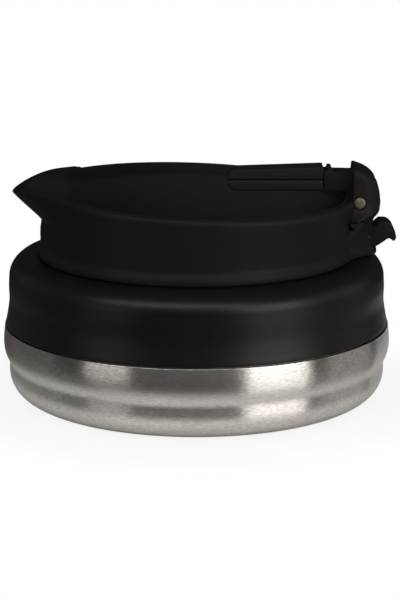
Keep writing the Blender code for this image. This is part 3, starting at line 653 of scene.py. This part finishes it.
def collarSection(angle):
    rim = rimZ(angle)
    plan = spoutPlan(min(1, abs(angle) / spout["halfAngle"]))
    (outWide, outTall), (inWide, inTall) = (
        [plain + (tip - plain) * plan for plain, tip in zip(*collar[side])]
        for side in ("rimOutside", "rimInside")
    )
    high, low = rim - outTall, rim - inTall
    root = collarZ + collar["height"] + collar["rimRise"] - spout["dip"] - spout["height"]

    def wallAt(z):
        share = (z - root) / (rim - root - outTall / 2)
        rise = (share + sqrt(share * share + spout["softness"])) / 2
        pinch = spout["pinch"] * bell(z - root + spout["pinchBelow"], spout["pinchSpread"])
        return wallRadius(z) + plan * (spout["reach"] * min(1, rise) ** spout["ease"] - pinch)

    foot, plain, room = collar["footRound"], collar["plainFrom"], spout["rootRoom"]
    heights = [collarZ + foot * (1 - cos(radians(15 * k))) for k in range(2, 6)]
    heights += [collarZ + foot + collar["footStep"] * k for k in range(10)]
    heights += [collarZ + plain + (root - room - collarZ - plain) * k / 5 for k in range(5)]
    heights += [root - room + (high - root + room) * k / 18 for k in range(19)]
    section = [(collarInner + skirtWall, skirtZ), (collarInner + skirtWall, collarZ)]
    section += [(wallAt(z), z) for z in heights]
    edge = wallAt(high)
    inner = edge - outWide - inWide
    for k in range(1, 11):
        turn = pi * k / 20
        section.append((edge - outWide * (1 - cos(turn)), high + outTall * sin(turn)))
    for k in range(1, 6):
        turn = pi * k / 10
        section.append((inner + inWide * cos(turn), rim - inTall * (1 - sin(turn))))
    for k in reversed(range(18)):
        z = collarZ + plain + (low - collarZ - plain) * k / 18
        share = min(1, (low - z) / collar["rimBlend"])
        section.append((inner + (wallAt(z) - collar["wall"] - inner) * eased(share), z))
    return section + [(collarInner, collarZ), (collarInner, skirtZ)]


bracket = {
    "height": 40.5, "reach": 11.9, "halfWidth": 23.5, "footLift": 0.15,
    # its flanks end inside the wall, and its back lies deeper in it, less deep above the pin
    "inset": 0.04, "backDepth": 1.2, "thinning": 0.9, "thinningHalf": 3, "slotHalf": 7.4,
    "slotFloor": 14.4, "eyeRoom": 6.6, "cavityHalf": 6.7, "cavityBack": 4.3, "cavityFloor": 2.1,
    "cavityRound": 0.8, "pinHole": 2.3, "headSeat": 2.9, "clipSeat": 3.9, "seatHalf": 12,
    "catchHole": 1.5, "catchHoleDepth": 1.6,
    # height, reach of the nose, half width and share of the cheeks' plan
    "reachUp": [
        (0, 0.83), (0.22, 0.835), (0.33, 0.87), (0.43, 0.94), (0.52, 0.985), (0.6, 1), (0.67, 0.965),
        (0.73, 0.925), (0.825, 0.84), (0.875, 0.765), (0.925, 0.61), (0.96, 0.45), (0.985, 0.27), (1, 0.1),
    ],
    "widthUp": [
        (0, 1), (0.18, 1), (0.3, 0.93), (0.4, 0.78), (0.48, 0.64), (0.55, 0.575), (0.65, 0.56),
        (0.88, 0.56), (0.94, 0.55), (0.975, 0.525), (1, 0.48),
    ],
    "cheekUp": [(0, 0), (0.22, 0), (0.33, 0.2), (0.43, 0.6), (0.52, 1), (1, 1)],
    # from the middle to the flank, how much of the reach is left
    "footPlan": [
        (0, 1), (0.22, 0.97), (0.36, 0.77), (0.45, 0.59), (0.54, 0.38), (0.72, 0.16), (0.88, 0.03), (1, 0),
    ],
    "cheekPlan": [
        (0, 1), (0.45, 1), (0.62, 0.985), (0.74, 0.93), (0.84, 0.83), (0.92, 0.7), (0.97, 0.58), (1, 0.44),
    ],
    # dents on both flanks: corners from the pin, depth, and how far the tool stands out
    "recess": [(-5.7, -7.3), (2.5, -8.1), (-1.9, -11.5)],
    "recessRound": 0.9, "recessDepth": 0.6, "recessOver": 3,
}


def bracketRows():
    keys = ("reachUp", "widthUp", "cheekUp", "footPlan", "cheekPlan")
    reachUp, widthUp, cheekUp, footPlan, cheekPlan = (reader(bracket[key]) for key in keys)
    shares = [0, 0.004, 0.009, 0.015] + [k / 40 for k in range(1, 40)] + [0.9875, 1.0]
    sides = [sin(pi / 2 * k / 22) for k in range(-22, 23)]
    lift, spread = bracket["footLift"], bracket["thinningHalf"]
    rows = []
    for share in shares:
        z = collarZ + lift + (bracket["height"] + lift) * share
        around = wallRadius(z) - bracket["inset"]
        thinner = eased(clamp((z - pinZ + spread) / (2 * spread)))
        back = around - bracket["backDepth"] + bracket["thinning"] * thinner
        half = bracket["halfWidth"] * widthUp(share)
        cheek = clamp(cheekUp(share))
        row = []
        for side in sides:
            plan = footPlan(abs(side)) * (1 - cheek) + cheekPlan(abs(side)) * cheek
            y = half * side
            out = bracket["reach"] * reachUp(share) * max(0, plan)
            row.append((sqrt(around ** 2 - y ** 2) + out, y, z))
        for k in range(8, -9, -1):
            y = half * k / 8
            row.append((sqrt(back ** 2 - y ** 2), y, z))
        rows.append(row)
    return rows


def cutBracket(piece):  # the catch's cavity, the handle's slot, and the holes and seats of both pins
    rim, half, cavityHalf = collar["outer"] + collar["flare"], bracket["slotHalf"], bracket["cavityHalf"]
    nose, inner, high = rim + bracket["reach"] + overrun, collarInner - overrun, collarTop + overrun
    floor, eyeFloor = collarZ + bracket["slotFloor"], pinZ - bracket["eyeRoom"]
    back, low = catchX - bracket["cavityBack"], collarZ + bracket["cavityFloor"]
    cavity = [(back, low), (nose, low), (nose, floor + overrun), (back, floor + overrun)]
    cavity = rounded(cavity, bracket["cavityRound"])
    slot = [(rim, floor), (nose, floor), (nose, high), (inner, high), (inner, eyeFloor), (rim, eyeFloor)]
    carve(piece, plate(cavity, -cavityHalf, cavityHalf), plate(slot, -half, half))
    line, wide, seat = lyingAt(pinX, pinZ), bracket["halfWidth"] + overrun, bracket["seatHalf"]
    deep = cavityHalf + bracket["catchHoleDepth"]
    carve(
        piece,
        rod(bracket["pinHole"], -wide, wide, line),
        rod(bracket["headSeat"], -wide, -seat, line),
        rod(bracket["clipSeat"], seat, wide, line),
        rod(bracket["catchHole"], -deep, deep, lyingAt(catchX, catchZ), 24),
    )


def recessTool(piece, side):  # its floor follows the flank
    corners = rounded([(pinX + x, pinZ + z) for x, z in bracket["recess"]], bracket["recessRound"])
    outside = 60  # well clear of the bracket
    work = bmesh.new()
    rings = []
    for depth in (-bracket["recessOver"], bracket["recessDepth"]):
        ring = []
        for x, z in corners:
            hit = piece.ray_cast(Vector((x, side * outside, z)) * mm, Vector((0, -side, 0)))[1]
            ring.append(work.verts.new((x * mm, hit.y - side * depth * mm, z * mm)))
        rings.append(ring)
    for k in range(len(corners)):
        n = (k + 1) % len(corners)
        work.faces.new((rings[0][k], rings[0][n], rings[1][n], rings[1][k]))
    caps = [work.faces.new(ring) for ring in rings]
    bmesh.ops.triangulate(work, faces=caps)
    return work


def paintLightInside(piece):  # painted light: the inside is painted lighter where it lies in shade, more of it toward the handle
    insideLightMask = piece.data.attributes.new("paintedInsideLight", "FLOAT", "POINT")
    clear, full = (x * mm for x in collar["insideLightFromTo"])
    deepest = collar["wall"] * collar["insideLightWallShare"]
    for vertex, spot in zip(piece.data.vertices, insideLightMask.data):
        inside = vertex.co.xy.length < (wallRadius(vertex.co.z / mm) - deepest) * mm
        inward = -vertex.normal.xy.dot(vertex.co.xy.normalized())
        spot.value = inside * max(0, inward) * clamp((vertex.co.x - clear) / (full - clear))


def makeCollar():
    half = spout["halfAngle"]
    angles = [half * k / 24 for k in range(-24, 25)]
    angles += [half + (360 - 2 * half) * k / 120 for k in range(1, 120)]
    rows = []
    for angle in angles:
        turn = pi + radians(angle)
        rows.append([(r * cos(turn), r * sin(turn), z) for r, z in collarSection(angle)])
    piece = pieceFrom("pouringCollar", skin(rows, True), nylon)
    carve(piece, skin(bracketRows(), False), how="UNION")
    cutBracket(piece)
    for side in (-1, 1):
        carve(piece, recessTool(piece, side))
    # painted light: the collar's inside is marked to be tinted lighter
    paintLightInside(piece)
    settle(piece, "collar", ["pouring_collar"])


makePan()
makeSleeve()
makeFold()
print("pan, sleeve and fold are made")
makeCollar()
print("collar is made")


# Handle
handle = {
    "armHalf": 6.2, "armEdge": 0.55, "gripHalf": 6.65, "gripEdge": 1.1, "eye": 6, "bushRoom": 3.5,
    "gripNear": -16.4, "gripFar": -60.3, "gripBottom": 4.5, "parting": 9.65, "partingHalf": 0.15,
    "topNear": 15.6, "topFar": 14.3, "endRound": 4,
    # the root, from the pin's outer side over the lower top and the rib to the end at the grip
    "root": [
        (5.7, 2.2), (2.5, 8.3), (-2.1, 13.1), (-12.4, 13.3), (-12.4, 15.1), (-14.5, 15.1), (-14.5, 13.7),
        (-16.1, 13.7), (-16.1, 4.6), (-6.8, 4.6),
    ],
    "rootRound": 0.8,
    # the tang in the grips: corners from the pin, seen from the side, and half its width
    "tang": ((-54, 7.6), (-12, 12)), "tangHalf": 3.2,
    # room for a screw: radius and height over the grip's bottom, then its top over the pin
    "screwRoom": [(0, -2), (2.7, -2), (2.7, 2.1), (1.5, 2.1)],
    "screwTop": 13.5,
}


def makeArm():
    root = [(pinX + x, pinZ + z) for x, z in handle["root"]]
    outline = rounded(root, handle["rootRound"], 3)[2:-2] + arc(pinX, pinZ, handle["eye"], -212, 8, 30)
    arm = pieceFrom("handleArm", plate(outline, -handle["armHalf"], handle["armHalf"]), nylon)
    edged(arm, handle["armEdge"])
    (far, low), (near, high) = handle["tang"]
    half = handle["tangHalf"]
    carve(arm, brick((pinX + far, -half, pinZ + low), (pinX + near, half, pinZ + high)), how="UNION")
    carve(arm, rod(handle["bushRoom"], -boreHalf, boreHalf, lyingAt(pinX, pinZ)))
    settle(arm, "handle", ["handle_arm"])


def makeGrip(name, node, outline):
    near, half = pinX + handle["gripNear"], handle["tangHalf"] + clearance
    (far, low), (_, high) = handle["tang"]
    grip = pieceFrom(name, plate(outline, -handle["gripHalf"], handle["gripHalf"]), handledNylon)
    edged(grip, handle["gripEdge"], 4, 40)
    start = (pinX + far - clearance, -half, pinZ + low - clearance)
    carve(grip, brick(start, (near + overrun, half, pinZ + high + clearance)))
    screwTop = pinZ + handle["screwTop"]
    room = [(r, pinZ + handle["gripBottom"] + z) for r, z in handle["screwRoom"]]
    room += [(room[-1][0], screwTop), (0, screwTop)]
    for screw in ("grip_screw_inner", "grip_screw_outer"):
        one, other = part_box(screw)
        carve(grip, spun(room, 32, Matrix.Translation(((one.x + other.x) / 2, 0, 0))))
    settle(grip, "handle", [node])


def makeGrips():
    near, end, ends = pinX + handle["gripNear"], pinX + handle["gripFar"], handle["endRound"]
    low, parting, gap = pinZ + handle["gripBottom"], pinZ + handle["parting"], handle["partingHalf"]
    topNear, topFar = pinZ + handle["topNear"], pinZ + handle["topFar"]
    lower = [(near, low), (near, parting - gap), (end, parting - gap)]
    lower += arc(end + ends, low + ends, ends, 180, 270, 10)
    upper = [(near, parting + gap), (near, topNear)]
    upper += arc(end + ends, topFar - ends, ends, 90, 180, 10) + [(end, parting + gap)]
    makeGrip("gripLower", "grip_lower", lower)
    makeGrip("gripUpper", "grip_upper", upper)


# Pin with its domed and worn head
pin = {
    "radius": 2, "head": 2.6, "seat": 12.3, "headThick": 1, "dome": 0.35,
    "headEdge": [(0.1, 0.05), (0, 0.25)],  # in from the head's radius, and back from its face
    "tipRound": 0.3,
}


def makePin():
    radius, head, seat, tip = pin["radius"], pin["head"], pin["seat"], pin["tipRound"]
    face, far = -seat - pin["headThick"], reach("handle_pin")
    outline = [(head * k / 8, face - pin["dome"] * (1 - (k / 8) ** 2)) for k in range(8)]
    outline += [(head - inset, face + back) for inset, back in pin["headEdge"]]
    outline += [(head, -seat), (radius, -seat), (radius, far - tip), (radius - tip, far), (0, far)]
    piece = pieceFrom("pinWithHead", spun(outline, 48, lyingAt(pinX, pinZ)), wornPin)
    settle(piece, "collar", ["handle_pin"])


# Catch under the handle
catch = {
    "half": 6.4,
    # from its pin
    "outline": [
        (6, 6.8), (9.7, 6.6), (11.7, 5), (12.9, 2.8), (13.9, -1), (12.7, -2.9), (10.4, -1), (7.1, -3.4),
        (4.1, -5.3), (2.7, -4.4), (1.5, -3), (0, -2.8), (-1.9, -2.1), (-3, 0), (-3.2, 4.2), (-1.5, 4.9),
        (1.5, 3.6), (3.8, 4.7),
    ],
    "round": 1.2, "edge": 0.6,
}


def makeCatch():
    outline = rounded([(catchX + x, catchZ + z) for x, z in catch["outline"]], catch["round"])
    piece = pieceFrom("handleCatch", plate(outline, -catch["half"], catch["half"]), nylon)
    edged(piece, catch["edge"], 3, 50)
    carve(piece, rod(bracket["catchHole"], -boreHalf, boreHalf, lyingAt(catchX, catchZ), 24))
    settle(piece, "catch", ["handle_catch"])


# Leaf under the catch, flat on the collar and then curving up, which the catch presses down
leaf = {"thick": 0.4, "flat": 3.2, "curve": 1.6, "pressedTo": 0.35}


def makeLeaf():
    low, high = (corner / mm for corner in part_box("catch_leaf_spring"))
    start, rise, count = low.x + leaf["flat"], high.z - low.z - leaf["thick"], 12
    under = [(low.x, low.z)]
    for k in range(count + 1):
        share = k / count
        under.append((start + (high.x - start) * share, low.z + rise * share ** leaf["curve"]))
    over = [(x, z + leaf["thick"]) for x, z in reversed(under)]
    piece = pieceFrom("catchLeaf", plate(under + over, low.y, high.y), hardware)
    settle(piece, "collar", ["catch_leaf_spring"])
    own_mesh(piece)


makeArm()
makeGrips()
makePin()
makeCatch()
makeLeaf()
print("handle, pin, catch and leaf are made")


# Lid
lid = {
    "rimWidth": 1.7, "thick": 2, "bore": 1.8, "edge": 0.3,
    "rimRound": (0.1, 0.6),  # how far the rounding's two points lie under the rim's top
    "fillet": 0.8,
    "hollow": [(24, 0), (23.2, 0.35), (13, 0.35), (12.2, 0)],  # radius and depth round the knob
    "slots": 7, "slotPitch": 4.6, "slotLength": 11, "slotWidth": 2, "slotEdge": 4.5,
    "slotToolTall": 6, "slotToolBelow": 2,
    # the gasket's two lips: in from its outside and up from its foot
    "lips": [(0.5, 0), (0.1, 0.3), (0, 0.6), (0.35, 1.1), (0.35, 1.7), (0, 2.2), (0.1, 2.6)],
    "knob": 9.5, "knobStem": 5.2, "knobNeck": 10, "knobBoreDepth": 9,
    # share of the knob's radius and down from its crown, then in from its radius and up from the neck
    "knobTop": [(0, 0), (0.4, 0.3), (0.7, 1.1), (0.9, 2.2), (1, 3.6)],
    "knobUnder": [(0, 2.2), (0.7, 0.8), (2.2, 0)],
    "stemFlare": (0.6, 2, 1),  # out, and how tall under the neck and over the foot
    "flutes": 18, "fluteRadius": 1.1, "fluteOut": 0.75,
    "fluteFromTo": (1, 1.2),  # under the neck, and under the crown
}


def makeSlotTree():
    tree = newTree(
        "strainerSlots", Count="Int", Pitch="Float", Reach="Float", Length="Float",
        Width="Float", Depth="Float", Base="Float", Finish="Material",
    )
    node, maths = partial(treeNode, tree), partial(treeMath, tree)
    given = node("NodeGroupInput")
    flat = node("CurvePrimitiveQuadrilateral", {"Width": given["Length"], "Height": given["Width"]})
    corners = {"Curve": flat[0], "Radius": maths("MULTIPLY", given["Width"], 0.49), "Count": 6}
    roundEnds = node("FilletCurve", corners, mode="POLY")
    face = node("FillCurve", {"Curve": roundEnds[0]}, mode="NGONS")
    upward = node("ShaderNodeCombineXYZ", {"Z": given["Depth"]})
    raised = node("ExtrudeMesh", {"Mesh": face[0], "Offset": upward[0], "Individual": False})
    underside = node("FlipFaces", {"Mesh": face[0]})
    joined = tree.nodes.new("GeometryNodeJoinGeometry")
    for half in (raised, underside):
        tree.links.new(half[0], joined.inputs[0])
    closed = node("MergeByDistance", {"Geometry": joined.outputs[0], "Distance": weldGap / 2})
    row = node("MeshLine", {"Count": given["Count"], "Offset": (0, 0, 0)})
    spots = node("InstanceOnPoints", {"Points": row[0], "Instance": closed[0]})
    number = node("InputIndex")
    middle = maths("MULTIPLY", maths("SUBTRACT", given["Count"], 1.0), 0.5)
    turnBy = maths("MULTIPLY", maths("SUBTRACT", number[0], middle), given["Pitch"])
    facing = node("ShaderNodeCombineXYZ", {"Z": maths("ADD", turnBy, pi)})
    outward = node("ShaderNodeCombineXYZ", {"X": given["Reach"], "Z": given["Base"]})
    fanned = node("RotateInstances", {"Instances": spots[0], "Rotation": facing[0]})
    move = {"Instances": fanned[0], "Translation": outward[0], "Local Space": True}
    placed = node("TranslateInstances", move)
    real = node("RealizeInstances", {"Geometry": placed[0]})
    pierced = node("MeshBoolean", {"Mesh 1": given[0], "Mesh 2": real[0]}, operation="DIFFERENCE")
    return endTree(tree, pierced[0], given["Finish"])


slotTree = makeSlotTree()


def makeDisc():
    radius, base, high = reach("lid_disc"), bottom("lid_disc"), top("lid_disc")
    rim, flat = radius - lid["rimWidth"], base + lid["thick"]
    edge, bore, fillet, (crown, side) = lid["edge"], lid["bore"], lid["fillet"], lid["rimRound"]
    outline = [
        (radius, base + edge), (radius, high - side), (radius - edge, high - crown),
        (radius - lid["rimWidth"] / 2, high), (rim + edge, high - crown), (rim, high - side),
        (rim, flat + fillet), (rim - fillet, flat), *((r, flat - down) for r, down in lid["hollow"]),
        (bore, flat), (bore, base), (radius - edge, base),
    ]
    disc = turned("lidDisc", outline, nylon)
    length, out = lid["slotLength"], rim - lid["slotEdge"]
    runTree(
        disc, slotTree, Count=lid["slots"], Pitch=radians(lid["slotPitch"]),
        Reach=(out - length / 2) * mm, Length=length * mm, Width=lid["slotWidth"] * mm,
        Depth=lid["slotToolTall"] * mm, Base=(base - lid["slotToolBelow"]) * mm, Finish=nylon,
    )
    settle(disc, "lid", ["lid_disc"])


def makeGasket():
    inner, outer = reach("lid_disc") + clearance, reach("lid_gasket")
    low, high = bottom("lid_gasket"), top("lid_gasket")
    outline = [(outer - inset, low + up) for inset, up in lid["lips"]]
    outline += [(outline[0][0], high), (inner, high), (inner, low)]
    settle(turned("lidGasket", outline, silicone), "lid", ["lid_gasket"])


def makeKnob():
    foot, crown, knob, stem = bottom("lid_knob"), top("lid_knob"), lid["knob"], lid["knobStem"]
    neck, boreTop = foot + lid["knobNeck"], foot + lid["knobBoreDepth"]
    flare, flareTop, flareFoot = lid["stemFlare"]
    head = [(knob * share, crown - down) for share, down in lid["knobTop"]]
    head += [(knob - inset, neck + up) for inset, up in lid["knobUnder"]]
    outline = smooth(head, 4) + [
        (stem + flare, neck - flare), (stem, neck - flareTop), (stem, foot + flareFoot),
        (stem + flare, foot), (lid["bore"], foot), (lid["bore"], boreTop), (0, boreTop),
    ]
    piece = turned("lidKnob", outline, nylon, steps=72)
    away, radius = (knob + lid["fluteOut"]) * mm, lid["fluteRadius"]
    low, high = neck - lid["fluteFromTo"][0], crown - lid["fluteFromTo"][1]
    for k in range(lid["flutes"]):
        turn = 2 * pi * k / lid["flutes"]
        spot = Matrix.Translation((away * cos(turn), away * sin(turn), 0))
        carve(piece, rod(radius, low, high, spot, 16))
    settle(piece, "lid", ["lid_knob"])


makeDisc()
makeGasket()
makeKnob()
print("lid is made")

# The nodes that keep their own shape
steelNodes = ["neck_ring", "hem_ring", "pin_clip", "catch_pin", "grip_screw_inner", "grip_screw_outer"]
steelNodes += ["lid_screw"]
keptNodes = {hardware: steelNodes, nylon: ["cuff_ring", "washer_near", "washer_far"], brass: ["eye_bush"]}
for finish, nodes in keptNodes.items():
    for node in nodes:
        mesh = frame["nodes"][node].data
        mesh.materials.clear()
        mesh.materials.append(finish)
print("kept nodes have their finishes")


# Studio. Where it is outside the picture, the floor's tones are what the steel mirrors
ground = {
    "near": (0.94, 0.94, 0.94, 1), "far": (0.05, 0.042, 0.036, 1), "side": (0.21, 0.2, 0.19, 1),
    # foot: a painted shadow, a darker ring of floor round the pan's foot that the steel mirrors as contact
    # shade
    "right": (0.36, 0.345, 0.33, 1), "foot": (0.5, 0.49, 0.48, 1), "white": 0.88,
    # radii between which one tone passes into the next, and the width of the other fades
    "paintedShadowFromTo": (76, 92), "nearFromTo": (90, 134), "sideTo": 235, "fade": 40,
    # the same as sines of the turn from straight aside and from straight ahead
    "frontSines": (0.5, 0.84), "rightSines": (0.5, 0.9),
    # white card on the right: a corner, its edge's direction, and how soft its edges are: a scale for
    # the distance, and where on that scale the card is full
    "cardCorner": (82, -37), "cardTurn": 42, "cardSoft": ((10, 0.2), (100, 0.3)),
    # another in front of it: where its edges meet, their sines from straight ahead, its far end
    "frontCard": (6.4, -56.5), "frontCardSines": (0.4, 0.6, 0.92, 0.96), "frontCardSoft": (10, 0.1),
    "frontCardTo": 200,
}
studio = {
    "skyDiffuse": 0.38, "skyGlossy": 0.03, "lampTint": (1, 0.95, 0.89), "lampsAway": 1500,
    "lamps": [
        # name, turn from the front, spread, height over the horizon, spread, brightness
        ("keyRight", 47.5, 37, 16, 28, 4.1),
        ("fillLeft", -52, 27, 7, 14, 1.25),
        ("sideRight", 100, 40, 15, 30, 0.5),
        ("sideLeft", -112, 50, 15, 30, 0.12),
        ("frontSoft", -14, 80, 43, 20, 3.2),
    ],
}
cameraView = {
    "target": (1.64, 0, 43), "distance": 1000, "elevation": 13.61, "lens": 128.3,
}


def aim(item, around, height, distance):  # at the kettle, turned round from the front and raised
    turn, lift = radians(around), radians(height)
    outward = Vector((sin(turn) * cos(lift), -cos(turn) * cos(lift), sin(lift)))
    item.location = Vector(cameraView["target"]) * mm + outward * distance * mm
    item.rotation_euler = outward.to_track_quat("Z", "Y").to_euler()


def makeLamp(name, around, wide, height, tall, brightness):
    away = studio["lampsAway"]
    data = bpy.data.lights.new(name, "AREA")
    data.shape = "RECTANGLE"
    data.size, data.size_y = (2 * away * mm * tan(radians(angle) / 2) for angle in (wide, tall))
    data.energy = brightness * pi * data.size * data.size_y
    data.color = studio["lampTint"]
    aim(linked(name, data), around, height, away)


def makeSky():
    world = bpy.data.worlds.new("studio")
    world.use_nodes = True
    scene.world = world
    g = Graph(world)
    seen = g.add("ShaderNodeLightPath", out="Is Camera Ray")
    shiny = g.add("ShaderNodeLightPath", out="Is Glossy Ray")
    unseen = shiny * studio["skyGlossy"] + (1 - shiny) * studio["skyDiffuse"]
    g.dress(g.tree.nodes["Background"], Color=(1, 1, 1, 1), Strength=seen + (1 - seen) * unseen)


def beyond(g, away, radius):  # fades from 0 to 1 outside a radius
    return g.ramp(away, radius * mm, (radius + ground["fade"]) * mm)


def softened(g, distance, soft):
    scale, full = soft
    return g.ramp(distance * scale, 0.0, full)


def backCard(g, x, y, away):
    turn, (cornerX, cornerY) = radians(ground["cardTurn"]), ground["cardCorner"]
    aside, back = x - cornerX * mm, y - cornerY * mm
    along = aside * cos(turn) + back * sin(turn)
    across = back * cos(turn) - aside * sin(turn)
    alongSoft, acrossSoft = ground["cardSoft"]
    outside = beyond(g, away, ground["sideTo"])
    return softened(g, along, alongSoft) * softened(g, across, acrossSoft) * (1 - outside)


def frontCard(g, x, y, away):
    cornerX, cornerY = ground["frontCard"]
    aside, ahead = x - cornerX * mm, cornerY * mm - y
    sine = aside / (aside * aside + ahead * ahead) ** 0.5
    start, full, fade, end = ground["frontCardSines"]
    within = g.ramp(sine, start, full) * (1 - g.ramp(sine, fade, end))
    within = within * softened(g, ahead, ground["frontCardSoft"])
    return within * (1 - beyond(g, away, ground["frontCardTo"]))


def makeFloor():
    bpy.ops.mesh.primitive_plane_add(size=12)
    floor = bpy.context.object
    floor.name = "floor"
    mat, g, shader = newFinish("paleFloor", Roughness=0.2, Specular_IOR_Level=0.9)
    x, y, z = g.split(g.place())
    away = (x * x + y * y) ** 0.5
    near, far = (r * mm for r in ground["nearFromTo"])
    out = g.add("ShaderNodeMapRange", {"interpolation_type": "SMOOTHSTEP"}, (away, near, far, 0.0, 1.0))
    front = g.ramp((0 - y) / away, *ground["frontSines"])
    right = g.tint(g.ramp(x / away, *ground["rightSines"]), ground["side"], ground["right"])
    dark = 1 - (1 - front) * (1 - beyond(g, away, ground["sideTo"]))
    sides = g.tint(dark, right, ground["far"])
    cards = 1 - (1 - backCard(g, x, y, away)) * (1 - frontCard(g, x, y, away))
    sides = g.tint(cards, sides, ground["near"])
    # painted shadow: the floor is painted darker in a ring round the pan's foot
    foot = g.ramp(away, *(r * mm for r in ground["paintedShadowFromTo"]))
    close = g.tint(foot, ground["foot"], ground["near"])
    g.dress(shader, Base_Color=g.tint(out, close, sides))
    white = g.add("ShaderNodeEmission", values={"Color": (1, 1, 1, 1), "Strength": 1.0})
    seen = g.add("ShaderNodeLightPath", out="Is Camera Ray")
    share = seen * (ground["white"] + (1 - ground["white"]) * out)
    mixed = g.add("ShaderNodeMixShader", values={0: share, 1: Wire(g, shader.outputs[0]), 2: white})
    g.dress(g.tree.nodes["Material Output"], Surface=mixed)
    floor.data.materials.append(mat)


def makeCamera():
    data = bpy.data.cameras.new("photoView")
    data.lens, data.sensor_width, data.sensor_fit = cameraView["lens"], 36, "AUTO"
    scene.camera = linked("photoView", data)
    aim(scene.camera, 0, cameraView["elevation"], cameraView["distance"])


makeSky()
for lamp in studio["lamps"]:
    makeLamp(*lamp)
makeFloor()
makeCamera()
scene.view_settings.view_transform = "Standard"

print("studio and camera are set")
